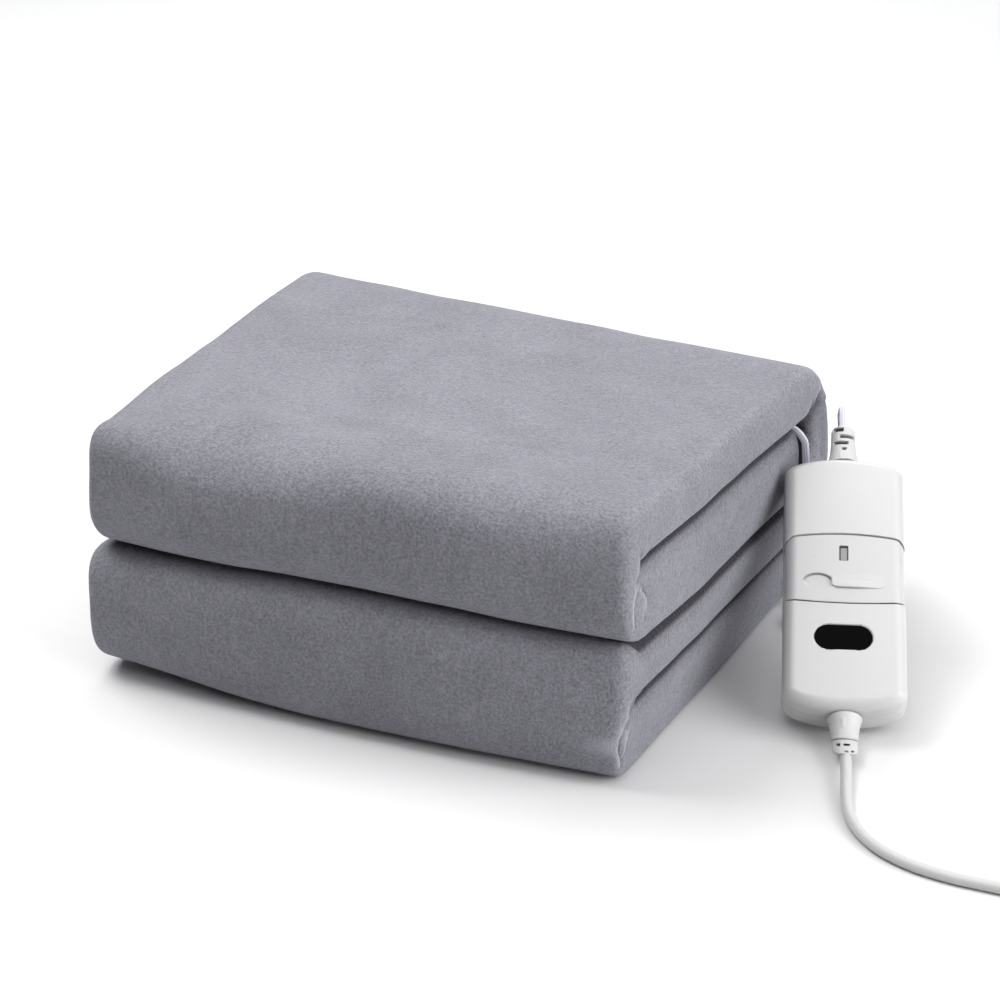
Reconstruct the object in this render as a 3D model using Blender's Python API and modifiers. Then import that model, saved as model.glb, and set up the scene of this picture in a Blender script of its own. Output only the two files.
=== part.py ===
"""A heated throw folded into a thick stack, with its hand controller, lead and mains cord.

Metres, +Z up, +Y from the front of the stack to its back. The throw is one sheet: folded in four
across its width, then folded like a gate along its length, so that four packs of four plies lie on
each other. The controller leans on the right side of the stack.
"""
import math

import bmesh
import bpy
import numpy as np
from mathutils import Matrix, Vector

# ---------------------------------------------------------------- the folded throw, driving sizes
STACK_WIDTH = 0.370        # left to right at the front
STACK_DEPTH = 0.350        # front to back, before the plan is skewed
DEPTH_LEFT = 0.392         # real depth along the left side
DEPTH_RIGHT = 0.347        # real depth along the right side
FLARE_LEFT = 0.012         # how far the back corners stand out sideways
FLARE_RIGHT = 0.024
FRONT_BOW = 0.008          # the front stands out this much more in its middle
BACK_SINK = 0.066          # the stack is this share lower at the back than at its puffed front
PLY = 0.0102               # one ply of the padded cloth
PLY_GAP = 0.0010           # air between two plies
PACK_GAP = 0.0012          # air between two packs
LEVEL_LOW_SLIT = 0.0506    # heights where one pack lies on the next, at the front
LEVEL_TIER_GAP = 0.0872
LEVEL_TOP_SLIT = 0.1465
STACK_HEIGHT = 0.180
FRONT_FOLD_DEPTH = 0.030   # how far a front fold bulges past the end of its slit
FRONT_SQUARENESS = 2.7     # superellipse power of the front folds, 2 is round
BACK_FOLD_START = 0.286    # where the plies turn down at the back
CAVITY_DEPTH = 0.022       # hollow behind the two inner packs
INNER_PACK_END = 0.274     # where the two inner packs stop
SIDE_FOLD_DEPTH = 0.0125   # bulge of the outer wrap on the right side
SIDE_SQUARENESS = 3.4
LEFT_FOLD_DEPTH = 0.0100   # bulge of the folds on the left side
HEM_INSET = 0.004          # the hems lie this far inside the left side
UPPER_STRAY = -0.001       # how far the packs stand out on the left of the front folds
LOWER_STRAY = 0.005

# ---------------------------------------------------------------- the controller, driving sizes
CASE_WIDTH = 0.078
CASE_LENGTH = 0.1914
CASE_DEPTH = 0.030
END_RISE = 0.0134          # height of the domed ends
BASE_DEPTH = 0.0140        # rear half of the case
SEAM = 0.0003              # running gap between two moulded pieces
COVER_EDGE = 0.0080        # rounding of the front rim
BASE_EDGE = 0.0035         # rounding of the back rim
CAP_SEAM_SIDE = 0.1257     # height of the cap's lower edge at the sides, and how far it arches up
CAP_SEAM_ARCH = 0.0040
FOOT_SEAM_SIDE = 0.0778    # height of the foot cover's upper edge at the sides, arching down
FOOT_SEAM_ARCH = -0.0016
DISPLAY_CENTRE = (-0.0014, 0.0511)
DISPLAY_SIZE = (0.0372, 0.0184)
FLAG_CENTRE = (-0.0011, 0.1146)
FLAG_SIZE = (0.0054, 0.0113)
TRACK_CENTRE = (-0.0003, 0.0935)
TRACK_SIZE = (0.0490, 0.0116)
SLIDER_SIZE = (0.0322, 0.0096)
SLIDER_REST = 0.0080       # the slider's centre, to the right of the case's middle
POCKET_DEPTH = 0.0014
SLIDER_PROUD = 0.0016      # how far the slider stands out of the panel
BOOT_LENGTH = 0.0300
BOOT_PROFILE = ((0.0, 0.0112), (0.18, 0.0098), (0.40, 0.0087), (0.62, 0.0082), (0.93, 0.0080), (1.0, 0.0066))
LEAN = math.radians(31.0)  # the controller's long axis above the floor
YAW = math.radians(18.0)   # and its turn towards the stack
CASE_FOOT = (0.4733, 0.1200, 0.0032)  # middle of the lower back edge

# ---------------------------------------------------------------- cords, driving sizes
LEAD_RADIUS = 0.0024
MAINS_RADIUS = 0.0035
STRAIGHT_END = 0.0030      # each cord leaves its fitting in line for at least this much
FLOOR_CLEAR = 0.0002
SLEEVE_PROFILE = ((0.0, 0.0028), (0.25, 0.0042), (0.85, 0.0034), (1.0, 0.0029))
COIL_CENTRE = (0.6700, 0.0280)
COIL_COLUMNS = 3
COIL_LAYERS = 2
COIL_MEAN_RADIUS = 0.0385
TIE_THICKNESS = 0.0009
TIE_WIDTH = 0.0120
TIE_SLACK = 0.0011         # the flat tape stands off the round flanks of the coil by this much
TIE_ANGLE = 0.6
PLUG_Y = 0.1335            # near end of the plug's body
PLUG_SIZE = (0.0260, 0.0330, 0.0170)
BLADE_SIZE = (0.0015, 0.0170, 0.0063)
BLADE_SPREAD = 0.0127

# Middle of the footprint of the stack and the controller, which becomes the part's origin.
FOOTPRINT_MIDDLE = (0.2494, 0.1915)

LEAD_ROUTE = (
    (0.3624, 0.2805, 0.1330), (0.3804, 0.2805, 0.1330), (0.3875, 0.2805, 0.1311),
    (0.3928, 0.2805, 0.1260), (0.3951, 0.2801, 0.1189), (0.3984, 0.2766, 0.0852),
    (0.3994, 0.2764, 0.0514), (0.3981, 0.2798, 0.0177), (0.3979, 0.2785, 0.0102),
    (0.3982, 0.2730, 0.0047), (0.3986, 0.2655, 0.0027), (0.3991, 0.2525, 0.0027),
    (0.4027, 0.2432, 0.0027), (0.4113, 0.2383, 0.0027), (0.4136, 0.2379, 0.0027),
    (0.4222, 0.2388, 0.0027), (0.4289, 0.2444, 0.0027), (0.4313, 0.2528, 0.0027),
    (0.4311, 0.2781, 0.0027), (0.4299, 0.2857, 0.0027), (0.4267, 0.2926, 0.0027),
    (0.4160, 0.3089, 0.0027), (0.4119, 0.3152, 0.0047), (0.4089, 0.3198, 0.0102),
    (0.4084, 0.3225, 0.0177), (0.4111, 0.3271, 0.0538), (0.4106, 0.3263, 0.0898),
    (0.4078, 0.3215, 0.1259), (0.4083, 0.3199, 0.1322), (0.4098, 0.3155, 0.1368),
    (0.4117, 0.3095, 0.1384), (0.4137, 0.3035, 0.1366), (0.4169, 0.2936, 0.1304),
)
MAINS_ROUTE = (
    (0.48476, 0.08472, 0.00783), (0.48606, 0.08072, 0.00783), (0.48745, 0.07644, 0.00783),
    (0.4922, 0.0600, 0.0065), (0.4972, 0.0430, 0.0045), (0.5041, 0.0250, 0.0037), (0.5150, 0.0085, 0.0037),
    (0.5308, -0.0050, 0.0037), (0.5510, -0.0140, 0.0037), (0.5745, -0.0180, 0.0037),
    (0.6000, -0.0182, 0.0037), (0.6240, -0.0177, 0.0037), (0.6441, -0.0175, 0.0037),
)
TAIL_ROUTE = (
    (0.7155, 0.0540, 0.0112), (0.7155, 0.0680, 0.0106), (0.7155, 0.0830, 0.0094), (0.7155, 0.0980, 0.0087),
    (0.7155, 0.1050, 0.0087), (0.7155, 0.1120, 0.0087),
)

# ---------------------------------------------------------------- colours: base colour, roughness
FINISHES = {
    "plush": ((0.235, 0.238, 0.275), 0.95),
    "white_plastic": ((0.78, 0.78, 0.77), 0.42),
    "grey_plastic": ((0.42, 0.42, 0.42), 0.50),
    "dark_window": ((0.004, 0.004, 0.004), 0.12),
    "white_rubber": ((0.74, 0.74, 0.74), 0.55),
    "lead_sleeve": ((0.70, 0.69, 0.78), 0.50),
    "tie_tape": ((0.05, 0.05, 0.055), 0.80),
    "plated_brass": ((0.72, 0.70, 0.66), 0.25),
}


def remove_old_objects():
    """Clear the scene, so that the script can be run again."""
    for old in list(bpy.data.objects):
        bpy.data.objects.remove(old, do_unlink=True)


def make_collection(name):
    """A new collection under the scene's own."""
    group = bpy.data.collections.new(name)
    bpy.context.scene.collection.children.link(group)
    return group


def make_material(name):
    """Principled material from the table of finishes."""
    colour, roughness = FINISHES[name]
    material = bpy.data.materials.new(name)
    material.use_nodes = True
    shader = material.node_tree.nodes["Principled BSDF"]
    shader.inputs["Base Color"].default_value = (*colour, 1.0)
    shader.inputs["Roughness"].default_value = roughness
    shader.inputs["Metallic"].default_value = 1.0 if name == "plated_brass" else 0.0
    return material


class Workshop:
    """Holds the collections, the materials and the two frames that pieces are placed in."""

    def __init__(self):
        self.parts = make_collection("heated_throw")
        self.cutters = make_collection("cutters")
        self.materials = {name: make_material(name) for name in FINISHES}
        self.table = self.make_empty("table_frame", (-FOOTPRINT_MIDDLE[0], -FOOTPRINT_MIDDLE[1], 0.0), (0, 0, 0))
        self.case = self.make_empty("case_frame", CASE_FOOT, (LEAN, 0.0, YAW), self.table)

    def make_empty(self, name, place, turn, parent=None):
        """An empty that pieces are parented to."""
        empty = bpy.data.objects.new(name, None)
        empty.location = place
        empty.rotation_euler = turn
        empty.parent = parent
        self.parts.objects.link(empty)
        return empty

    def add(self, name, mesh, finish, frame, smooth=True):
        """Put a mesh in the part as one named object."""
        piece = bpy.data.objects.new(name, mesh)
        self.parts.objects.link(piece)
        piece.parent = frame
        mesh.materials.clear()
        mesh.materials.append(self.materials[finish])
        if smooth:
            mesh.shade_smooth()
            mesh.set_sharp_from_angle(angle=math.radians(40.0))
        return piece

    def add_cutter(self, name, mesh, frame):
        """Put a mesh in the cutters' collection, hidden from renders."""
        cutter = bpy.data.objects.new(name, mesh)
        self.cutters.objects.link(cutter)
        cutter.parent = frame
        cutter.hide_render = True
        cutter.display_type = "WIRE"
        return cutter


# ---------------------------------------------------------------- shapes
def superellipse(angle, power):
    """Cosine and sine drawn towards a square by the power, 2 leaves them as they are."""
    cos, sin = np.cos(angle), np.sin(angle)
    return (np.sign(cos) * np.abs(cos) ** (2.0 / power), np.sign(sin) * np.abs(sin) ** (2.0 / power))


def arc(centre, outer, inner, start, stop, count, power=2.0):
    """Paired points of the two faces of a ply that turns about a centre, ends left out."""
    angles = np.radians(np.linspace(start, stop, count + 2)[1:-1])
    cos, sin = superellipse(angles, power)
    faces = [np.stack([centre[0] + radii[0] * cos, centre[1] + radii[1] * sin], axis=1) for radii in (outer, inner)]
    return faces


def run(x_from, x_to, height_first, height_second, count):
    """Paired points of the two faces of a ply that lies straight."""
    x = np.linspace(x_from, x_to, count)
    return [np.stack([x, np.full(count, height)], axis=1) for height in (height_first, height_second)]


def ply_section():
    """Section of one pack: the strip folded in four, as pairs of points on its two faces.

    The first coordinate is the place across the stack, the second the height within the pack from 0
    to 1. The strip runs from a hem at the lower left round the right side and over the top, round
    the left fold and back inside, to the other hem.
    """
    thick = 4 * PLY + 3 * PLY_GAP
    right = STACK_WIDTH - SIDE_FOLD_DEPTH
    left = LEFT_FOLD_DEPTH
    half = thick / 2
    inner_half = PLY + PLY_GAP / 2
    small = PLY_GAP / 2
    left_centre = thick - PLY - PLY_GAP / 2
    inner_bulge = SIDE_FOLD_DEPTH - PLY * 0.60
    stretches = [
        run(HEM_INSET, right, 0.0, PLY, 6),
        arc((right, half), (SIDE_FOLD_DEPTH, half), (inner_bulge, half - PLY), -90, 90, 11, SIDE_SQUARENESS),
        run(right, left, thick, thick - PLY, 6),
        arc((left, left_centre), (left, inner_half), (small, small), 90, 270, 7),
        run(left, right - 0.001, thick - 2 * PLY - PLY_GAP, thick - PLY - PLY_GAP, 6),
        arc((right - 0.001, half), (small, small), (inner_bulge - 0.0008, inner_half), 90, -90, 5),
        run(right - 0.001, HEM_INSET + 0.003, thick - 2 * PLY - 2 * PLY_GAP, PLY + PLY_GAP, 6),
    ]
    first = np.concatenate([stretch[0] for stretch in stretches])
    second = np.concatenate([stretch[1] for stretch in stretches])
    outline = np.concatenate([first, second[::-1]])
    outline[:, 1] /= thick
    return outline


def fold_path():
    """Stations of the gate fold: lower and upper line of the pack in the Y-Z plane.

    Each row is inner y, inner z, outer y, outer z and how far the pack stands out past its nominal
    right and left edges. Inner is the side that faces the fold.
    """
    half_gap = PACK_GAP / 2
    fold = FRONT_FOLD_DEPTH
    rows = []

    def straight(y_values, inner_z, outer_z, stray):
        for y in y_values:
            reach = 0.002 * (y - fold) / (BACK_FOLD_START - fold)
            rows.append((y, inner_z, y, outer_z, reach, stray * (1 - y / STACK_DEPTH)))

    def front_turn(level, thick_from, thick_to, stray):
        angles = np.radians(np.linspace(-90, 90, 13)[1:-1])
        cos, sin = superellipse(angles, FRONT_SQUARENESS)
        thick = np.linspace(thick_from, thick_to, 13)[1:-1] + half_gap
        for index, angle in enumerate(angles):
            inner = (fold - half_gap * math.cos(angle), level + half_gap * math.sin(angle))
            outer = (fold - fold * cos[index], level + thick[index] * sin[index])
            rows.append((*inner, *outer, 0.0, stray))

    top = STACK_HEIGHT - LEVEL_TOP_SLIT - half_gap
    second = LEVEL_TOP_SLIT - LEVEL_TIER_GAP - PACK_GAP
    third = LEVEL_TIER_GAP - LEVEL_LOW_SLIT - PACK_GAP
    bottom = LEVEL_LOW_SLIT - half_gap
    inner_run = np.linspace(INNER_PACK_END, fold, 6)
    outer_run = np.linspace(fold, BACK_FOLD_START, 7)
    straight(inner_run, LEVEL_TOP_SLIT - half_gap, LEVEL_TIER_GAP + half_gap, UPPER_STRAY)
    front_turn(LEVEL_TOP_SLIT, second, top, UPPER_STRAY)
    straight(outer_run, LEVEL_TOP_SLIT + half_gap, STACK_HEIGHT, UPPER_STRAY)
    inner_low, inner_high = LEVEL_LOW_SLIT - half_gap, LEVEL_TOP_SLIT + half_gap
    angles = np.radians(np.linspace(90, -90, 13)[1:-1])
    cos, sin = superellipse(angles, 2.2)
    wide_cos, wide_sin = superellipse(angles, 2.6)
    for index in range(len(angles)):
        inner_y = BACK_FOLD_START + CAVITY_DEPTH * cos[index]
        inner_z = (inner_low + inner_high) / 2 + (inner_high - inner_low) / 2 * sin[index]
        outer_y = BACK_FOLD_START + (STACK_DEPTH - BACK_FOLD_START) * wide_cos[index]
        outer_z = STACK_HEIGHT / 2 + STACK_HEIGHT / 2 * wide_sin[index]
        rows.append((inner_y, inner_z, outer_y, outer_z, 0.002, 0.0))
    straight(outer_run[::-1], inner_low, 0.0, LOWER_STRAY)
    front_turn(LEVEL_LOW_SLIT, bottom, third, LOWER_STRAY)
    straight(inner_run[::-1], LEVEL_LOW_SLIT + half_gap, LEVEL_TIER_GAP - half_gap, LOWER_STRAY)
    return np.array(rows)


def settle(points):
    """Skew the plan, flare the back corners and let the back of the stack sink."""
    x, y, z = points[..., 0], points[..., 1], points[..., 2]
    across = np.clip(x / STACK_WIDTH, -0.1, 1.1)
    along = y / STACK_DEPTH
    depth = DEPTH_LEFT + (DEPTH_RIGHT - DEPTH_LEFT) * across
    bow = FRONT_BOW * np.sin(math.pi * np.clip(across, 0.0, 1.0)) * np.clip(1 - 3 * along, 0.0, 1.0)
    moved_x = x + FLARE_RIGHT * across * along - FLARE_LEFT * (1 - across) * along
    moved_z = z * (1 - BACK_SINK * np.clip(along, 0.0, 1.0))
    return np.stack([moved_x, along * depth - bow, moved_z], axis=-1)


def sweep_mesh(name, section, path):
    """Loft the pack's section along the stations of the fold, with quads for the two cut ends."""
    across = (section[:, 0] / STACK_WIDTH)[None, :]
    x = section[None, :, 0] + path[:, 4:5] * across ** 4 - path[:, 5:6] * (1 - across) ** 4
    rise = section[None, :, 1]
    y = path[:, 0:1] + (path[:, 2:3] - path[:, 0:1]) * rise
    z = path[:, 1:2] + (path[:, 3:4] - path[:, 1:2]) * rise
    points = settle(np.stack([x, y, z], axis=-1))
    stations, count = points.shape[:2]
    grid = np.arange(stations * count).reshape(stations, count)
    ahead = np.roll(grid, -1, axis=1)
    sides = np.stack([grid[:-1], ahead[:-1], ahead[1:], grid[1:]], axis=-1).reshape(-1, 4)
    pairs = count // 2
    first = np.arange(pairs - 1)
    second = count - 1 - first
    cap = np.stack([first, first + 1, second - 1, second], axis=1)
    start_cap = cap[:, ::-1]
    end_cap = cap + (stations - 1) * count
    mesh = bpy.data.meshes.new(name)
    mesh.from_pydata(points.reshape(-1, 3).tolist(), [], np.concatenate([sides, start_cap, end_cap]).tolist())
    mesh.update()
    clean = bmesh.new()
    clean.from_mesh(mesh)
    bmesh.ops.recalc_face_normals(clean, faces=clean.faces)
    clean.to_mesh(mesh)
    clean.free()
    return mesh


def smooth_route(route, spacing):
    """Evenly spaced points on a smooth curve through the route's own points."""
    knots = np.array(route)
    padded = np.concatenate([[2 * knots[0] - knots[1]], knots, [2 * knots[-1] - knots[-2]]])
    share = np.linspace(0.0, 1.0, 24, endpoint=False)[:, None]
    dense = []
    for before, start, stop, after in zip(padded, padded[1:], padded[2:], padded[3:]):
        dense.append(0.5 * (2 * start + (stop - before) * share
                            + (2 * before - 5 * start + 4 * stop - after) * share ** 2
                            + (3 * start - before - 3 * stop + after) * share ** 3))
    dense = np.concatenate(dense + [knots[-1:]])
    travelled = np.concatenate([[0.0], np.cumsum(np.linalg.norm(np.diff(dense, axis=0), axis=1))])
    count = max(4, int(round(travelled[-1] / spacing)) + 1)
    wanted = np.linspace(0.0, travelled[-1], count)
    ends = (STRAIGHT_END, travelled[-1] - STRAIGHT_END)
    wanted = np.sort(np.concatenate([wanted, ends]))
    return np.stack([np.interp(wanted, travelled, dense[:, axis]) for axis in range(3)], axis=1)


def tube_mesh(name, points, radii, resolution):
    """Closed tube along points, from a curve with a bevel and filled caps."""
    curve = bpy.data.curves.new(name, "CURVE")
    curve.dimensions = "3D"
    curve.bevel_depth = 1.0
    curve.bevel_resolution = resolution
    curve.use_fill_caps = True
    curve.twist_mode = "MINIMUM"
    spline = curve.splines.new("POLY")
    spline.points.add(len(points) - 1)
    for point, place, radius in zip(spline.points, points, np.broadcast_to(radii, len(points))):
        point.co = (*place, 1.0)
        point.radius = radius
    return mesh_from_curve(name, curve)


def mesh_from_curve(name, curve):
    """Evaluated mesh of a curve, its loose caps welded."""
    holder = bpy.data.objects.new(name + "_curve", curve)
    bpy.context.scene.collection.objects.link(holder)
    graph = bpy.context.evaluated_depsgraph_get()
    mesh = bpy.data.meshes.new_from_object(holder.evaluated_get(graph))
    bpy.data.objects.remove(holder, do_unlink=True)
    welded = bmesh.new()
    welded.from_mesh(mesh)
    bmesh.ops.remove_doubles(welded, verts=welded.verts, dist=0.000005)
    bmesh.ops.recalc_face_normals(welded, faces=welded.faces)
    welded.to_mesh(mesh)
    welded.free()
    mesh.name = name
    return mesh


def plate_mesh(name, outline, low, high):
    """Flat plate from a closed 2-D outline, its faces joined into two flat ends."""
    curve = bpy.data.curves.new(name, "CURVE")
    curve.dimensions = "2D"
    curve.fill_mode = "BOTH"
    curve.extrude = (high - low) / 2
    spline = curve.splines.new("POLY")
    spline.points.add(len(outline) - 1)
    for point, place in zip(spline.points, outline):
        point.co = (place[0], place[1], 0.0, 1.0)
    spline.use_cyclic_u = True
    mesh = mesh_from_curve(name, curve)
    flat = bmesh.new()
    flat.from_mesh(mesh)
    bmesh.ops.translate(flat, verts=flat.verts, vec=(0.0, 0.0, (high + low) / 2))
    bmesh.ops.dissolve_limit(flat, angle_limit=math.radians(0.5), verts=flat.verts, edges=flat.edges)
    flat.to_mesh(mesh)
    flat.free()
    return mesh


def round_rim(mesh, height, width, segments):
    """Round the rim of a plate that lies at one height."""
    plate = bmesh.new()
    plate.from_mesh(mesh)
    rim = [edge for edge in plate.edges if all(abs(vert.co.z - height) < 1e-6 for vert in edge.verts)]
    bmesh.ops.bevel(plate, geom=rim, offset=width, offset_type="OFFSET", segments=segments, profile=0.5,
                    affect="EDGES", clamp_overlap=True)
    plate.to_mesh(mesh)
    plate.free()


def case_outline(inset=0.0, count=15):
    """Plan of the case: straight sides and half-ellipse ends."""
    half = CASE_WIDTH / 2 - inset
    rise = END_RISE - inset * 0.6
    angles = np.linspace(0.0, math.pi, count)
    upper = np.stack([half * np.cos(angles), CASE_LENGTH - inset - rise + rise * np.sin(angles)], axis=1)
    lower = np.stack([-half * np.cos(angles), inset + rise - rise * np.sin(angles)], axis=1)
    return np.concatenate([upper, lower])


def stadium(centre, size, count=9):
    """Slot outline with round ends."""
    radius = size[1] / 2
    reach = size[0] / 2 - radius
    right = np.linspace(-math.pi / 2, math.pi / 2, count)
    ends = [np.stack([centre[0] + side * (reach + radius * np.cos(right)),
                      centre[1] + side * radius * np.sin(right)], axis=1) for side in (1, -1)]
    return np.concatenate(ends)


def rectangle(centre, size):
    """Plain rectangular outline."""
    half_x, half_y = size[0] / 2, size[1] / 2
    return np.array([(centre[0] + sx * half_x, centre[1] + sy * half_y)
                     for sx, sy in ((1, -1), (1, 1), (-1, 1), (-1, -1))])


def arched_line(side_height, arch, count=9):
    """Seam from the right side of the case to the left, arching by a parabola."""
    x = np.linspace(CASE_WIDTH * 0.7, -CASE_WIDTH * 0.7, count)
    share = np.clip(1 - (x / (CASE_WIDTH / 2)) ** 2, -0.6, 1.0)
    return np.stack([x, side_height + arch * share], axis=1)


def band_outline(low, high):
    """Region of the case between two seam lines, or past the case's end where one is None."""
    wide = CASE_WIDTH * 0.7
    bottom = np.array([(wide, -0.05), (-wide, -0.05)]) if low is None else low
    top = np.array([(wide, CASE_LENGTH + 0.05), (-wide, CASE_LENGTH + 0.05)]) if high is None else high
    return np.concatenate([bottom[::-1], top])


def turned_mesh(name, profile, steps):
    """Closed turned body about Z from a profile that runs round its section."""
    mesh = bpy.data.meshes.new(name)
    points = [(x, 0.0, z) for x, z in profile]
    count = len(points)
    mesh.from_pydata(points, [(i, (i + 1) % count) for i in range(count)], [])
    holder = bpy.data.objects.new(name + "_profile", mesh)
    bpy.context.scene.collection.objects.link(holder)
    screw = holder.modifiers.new("turn", "SCREW")
    screw.steps = steps
    screw.render_steps = steps
    screw.use_merge_vertices = True
    screw.merge_threshold = 0.00001
    graph = bpy.context.evaluated_depsgraph_get()
    turned = bpy.data.meshes.new_from_object(holder.evaluated_get(graph))
    bpy.data.objects.remove(holder, do_unlink=True)
    clean = bmesh.new()
    clean.from_mesh(turned)
    bmesh.ops.remove_doubles(clean, verts=clean.verts, dist=0.00001)
    bmesh.ops.recalc_face_normals(clean, faces=clean.faces)
    clean.to_mesh(turned)
    clean.free()
    turned.name = name
    return turned


def cut(piece, cutter, operation):
    """Exact Boolean with a cutter."""
    modifier = piece.modifiers.new(cutter.name, "BOOLEAN")
    modifier.operation = operation
    modifier.solver = "EXACT"
    modifier.object = cutter


# ---------------------------------------------------------------- sub-parts
def build_throw(shop):
    """The folded throw, one sheet and so one solid."""
    shop.add("blanket", sweep_mesh("blanket", ply_section(), fold_path()), "plush", shop.table)


def build_case(shop):
    """Rear shell and the three front covers of the controller."""
    base = plate_mesh("base_shell", case_outline(), 0.0, BASE_DEPTH)
    round_rim(base, 0.0, BASE_EDGE, 3)
    shop.add("base_shell", base, "white_plastic", shop.case)
    cap_seam = arched_line(CAP_SEAM_SIDE, CAP_SEAM_ARCH)
    foot_seam = arched_line(FOOT_SEAM_SIDE, FOOT_SEAM_ARCH)
    lift = np.array([0.0, SEAM / 2])
    bands = {
        "top_cover": (cap_seam + lift, None, 0.0),
        "middle_panel": (foot_seam + lift, cap_seam - lift, 0.0006),
        "lower_cover": (None, foot_seam - lift, 0.0),
    }
    covers = {}
    for name, (low, high, inset) in bands.items():
        front = CASE_DEPTH - inset
        mesh = plate_mesh(name, case_outline(inset), BASE_DEPTH + SEAM, front)
        round_rim(mesh, front, COVER_EDGE, 5)
        covers[name] = shop.add(name, mesh, "white_plastic", shop.case)
        band = plate_mesh(name + "_band", band_outline(low, high), BASE_DEPTH - 0.01, CASE_DEPTH + 0.01)
        cut(covers[name], shop.add_cutter(name + "_band", band, shop.case), "INTERSECT")
    return covers


def build_fittings(shop, covers):
    """Display window, level flag and the level slider, each in its pocket."""
    panel_front = CASE_DEPTH - 0.0006
    pockets = (
        ("lower_cover", "display_pocket", stadium(DISPLAY_CENTRE, DISPLAY_SIZE), CASE_DEPTH),
        ("middle_panel", "flag_pocket", rectangle(FLAG_CENTRE, FLAG_SIZE), panel_front),
        ("middle_panel", "slider_track", stadium(TRACK_CENTRE, TRACK_SIZE), panel_front),
    )
    for cover, name, outline, front in pockets:
        cutter = plate_mesh(name, outline, front - POCKET_DEPTH, CASE_DEPTH + 0.01)
        cut(covers[cover], shop.add_cutter(name, cutter, shop.case), "DIFFERENCE")
    shrink = 2 * SEAM
    floor = -POCKET_DEPTH + SEAM
    window = plate_mesh("display_window", stadium(DISPLAY_CENTRE, (DISPLAY_SIZE[0] - shrink, DISPLAY_SIZE[1] - shrink)),
                        CASE_DEPTH + floor, CASE_DEPTH - 0.0002)
    shop.add("display_window", window, "dark_window", shop.case)
    flag = plate_mesh("level_flag", rectangle(FLAG_CENTRE, (FLAG_SIZE[0] - shrink, FLAG_SIZE[1] - shrink)),
                      panel_front + floor, panel_front - 0.0007)
    shop.add("level_flag", flag, "grey_plastic", shop.case)
    slider = plate_mesh("level_slider", stadium((0.0, 0.0), SLIDER_SIZE), panel_front + floor,
                        panel_front + SLIDER_PROUD)
    round_rim(slider, panel_front + SLIDER_PROUD, 0.0010, 2)
    piece = shop.add("level_slider", slider, "white_plastic", shop.case)
    piece.location = (TRACK_CENTRE[0] + SLIDER_REST, TRACK_CENTRE[1], 0.0)


def boot_points(bend, count=13):
    """Centreline and radii of a boot along -Y or +Y of the case, bending up by an angle."""
    share = np.linspace(0.0, 1.0, count)
    marks, radii = zip(*BOOT_PROFILE)
    radius = np.interp(share, marks, radii)
    turned = bend * share
    if bend:
        curve_radius = BOOT_LENGTH / bend
        along = curve_radius * np.sin(turned)
        rise = curve_radius * (1 - np.cos(turned))
    else:
        along, rise = BOOT_LENGTH * share, np.zeros(count)
    return along, rise, radius


def build_boots(shop):
    """Strain reliefs: the upper one straight, the lower one bent up where it lies on the floor."""
    middle = CASE_DEPTH / 2
    for name, side, bend in (("upper_boot", 1, 0.0), ("lower_boot", -1, LEAN)):
        along, rise, radius = boot_points(bend)
        start = CASE_LENGTH + SEAM if side > 0 else -2 * SEAM
        points = np.stack([np.zeros_like(along), start + side * along, middle + rise], axis=1)
        shop.add(name, tube_mesh(name, points, radius, 5), "white_rubber", shop.case)


def build_cords(shop):
    """Lead from the throw's hem to the controller, and the mains cord with its coil and plug."""
    lead = smooth_route(LEAD_ROUTE, LEAD_RADIUS * 4.6)
    shop.add("lead_cord", tube_mesh("lead_cord", lead, LEAD_RADIUS, 2), "lead_sleeve", shop.table)
    marks, radii = zip(*SLEEVE_PROFILE)
    share = np.linspace(0.0, 1.0, 9)
    sleeve_end = np.array(LEAD_ROUTE[0]) - (SEAM, 0.0, 0.0)
    sleeve = sleeve_end + np.outer(share - 1.0, (0.024, 0.0, 0.0))
    shop.add("lead_sleeve", tube_mesh("lead_sleeve", sleeve, np.interp(share, marks, radii), 3),
             "lead_sleeve", shop.table)
    mains = smooth_route(MAINS_ROUTE, MAINS_RADIUS * 4.6)
    shop.add("mains_cord", tube_mesh("mains_cord", mains, MAINS_RADIUS, 3), "white_rubber", shop.table)
    tail = smooth_route(TAIL_ROUTE, MAINS_RADIUS * 4.6)
    shop.add("mains_tail", tube_mesh("mains_tail", tail, MAINS_RADIUS, 3), "white_rubber", shop.table)


def build_coil(shop):
    """Outer shape of the wound mains cord, and the tape that holds it."""
    half = COIL_COLUMNS * MAINS_RADIUS
    low = FLOOR_CLEAR + TIE_THICKNESS + SEAM
    high = low + COIL_LAYERS * 2 * MAINS_RADIUS
    edge = MAINS_RADIUS * 0.6
    profile = [(half, low + edge), (half, high - edge), (half - edge, high), (-half + edge, high),
               (-half, high - edge), (-half, low + edge), (-half + edge, low), (half - edge, low)]
    profile = [(COIL_MEAN_RADIUS + x, z) for x, z in profile[::-1]]
    coil = turned_mesh("mains_coil", profile, 40)
    shop.add("mains_coil", coil, "white_rubber", shop.table).location = (*COIL_CENTRE, 0.0)
    reach = half + TIE_SLACK
    inner = rounded_ring(reach, low - SEAM, high + SEAM)
    outer = rounded_ring(reach + TIE_THICKNESS, FLOOR_CLEAR, high + SEAM + TIE_THICKNESS)
    tie = band_mesh("coil_tie", inner, outer, TIE_WIDTH)
    piece = shop.add("coil_tie", tie, "tie_tape", shop.table)
    piece.location = (COIL_CENTRE[0] - COIL_MEAN_RADIUS * math.cos(TIE_ANGLE),
                      COIL_CENTRE[1] + COIL_MEAN_RADIUS * math.sin(TIE_ANGLE), 0.0)
    piece.rotation_euler = (0.0, 0.0, -TIE_ANGLE)


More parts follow.
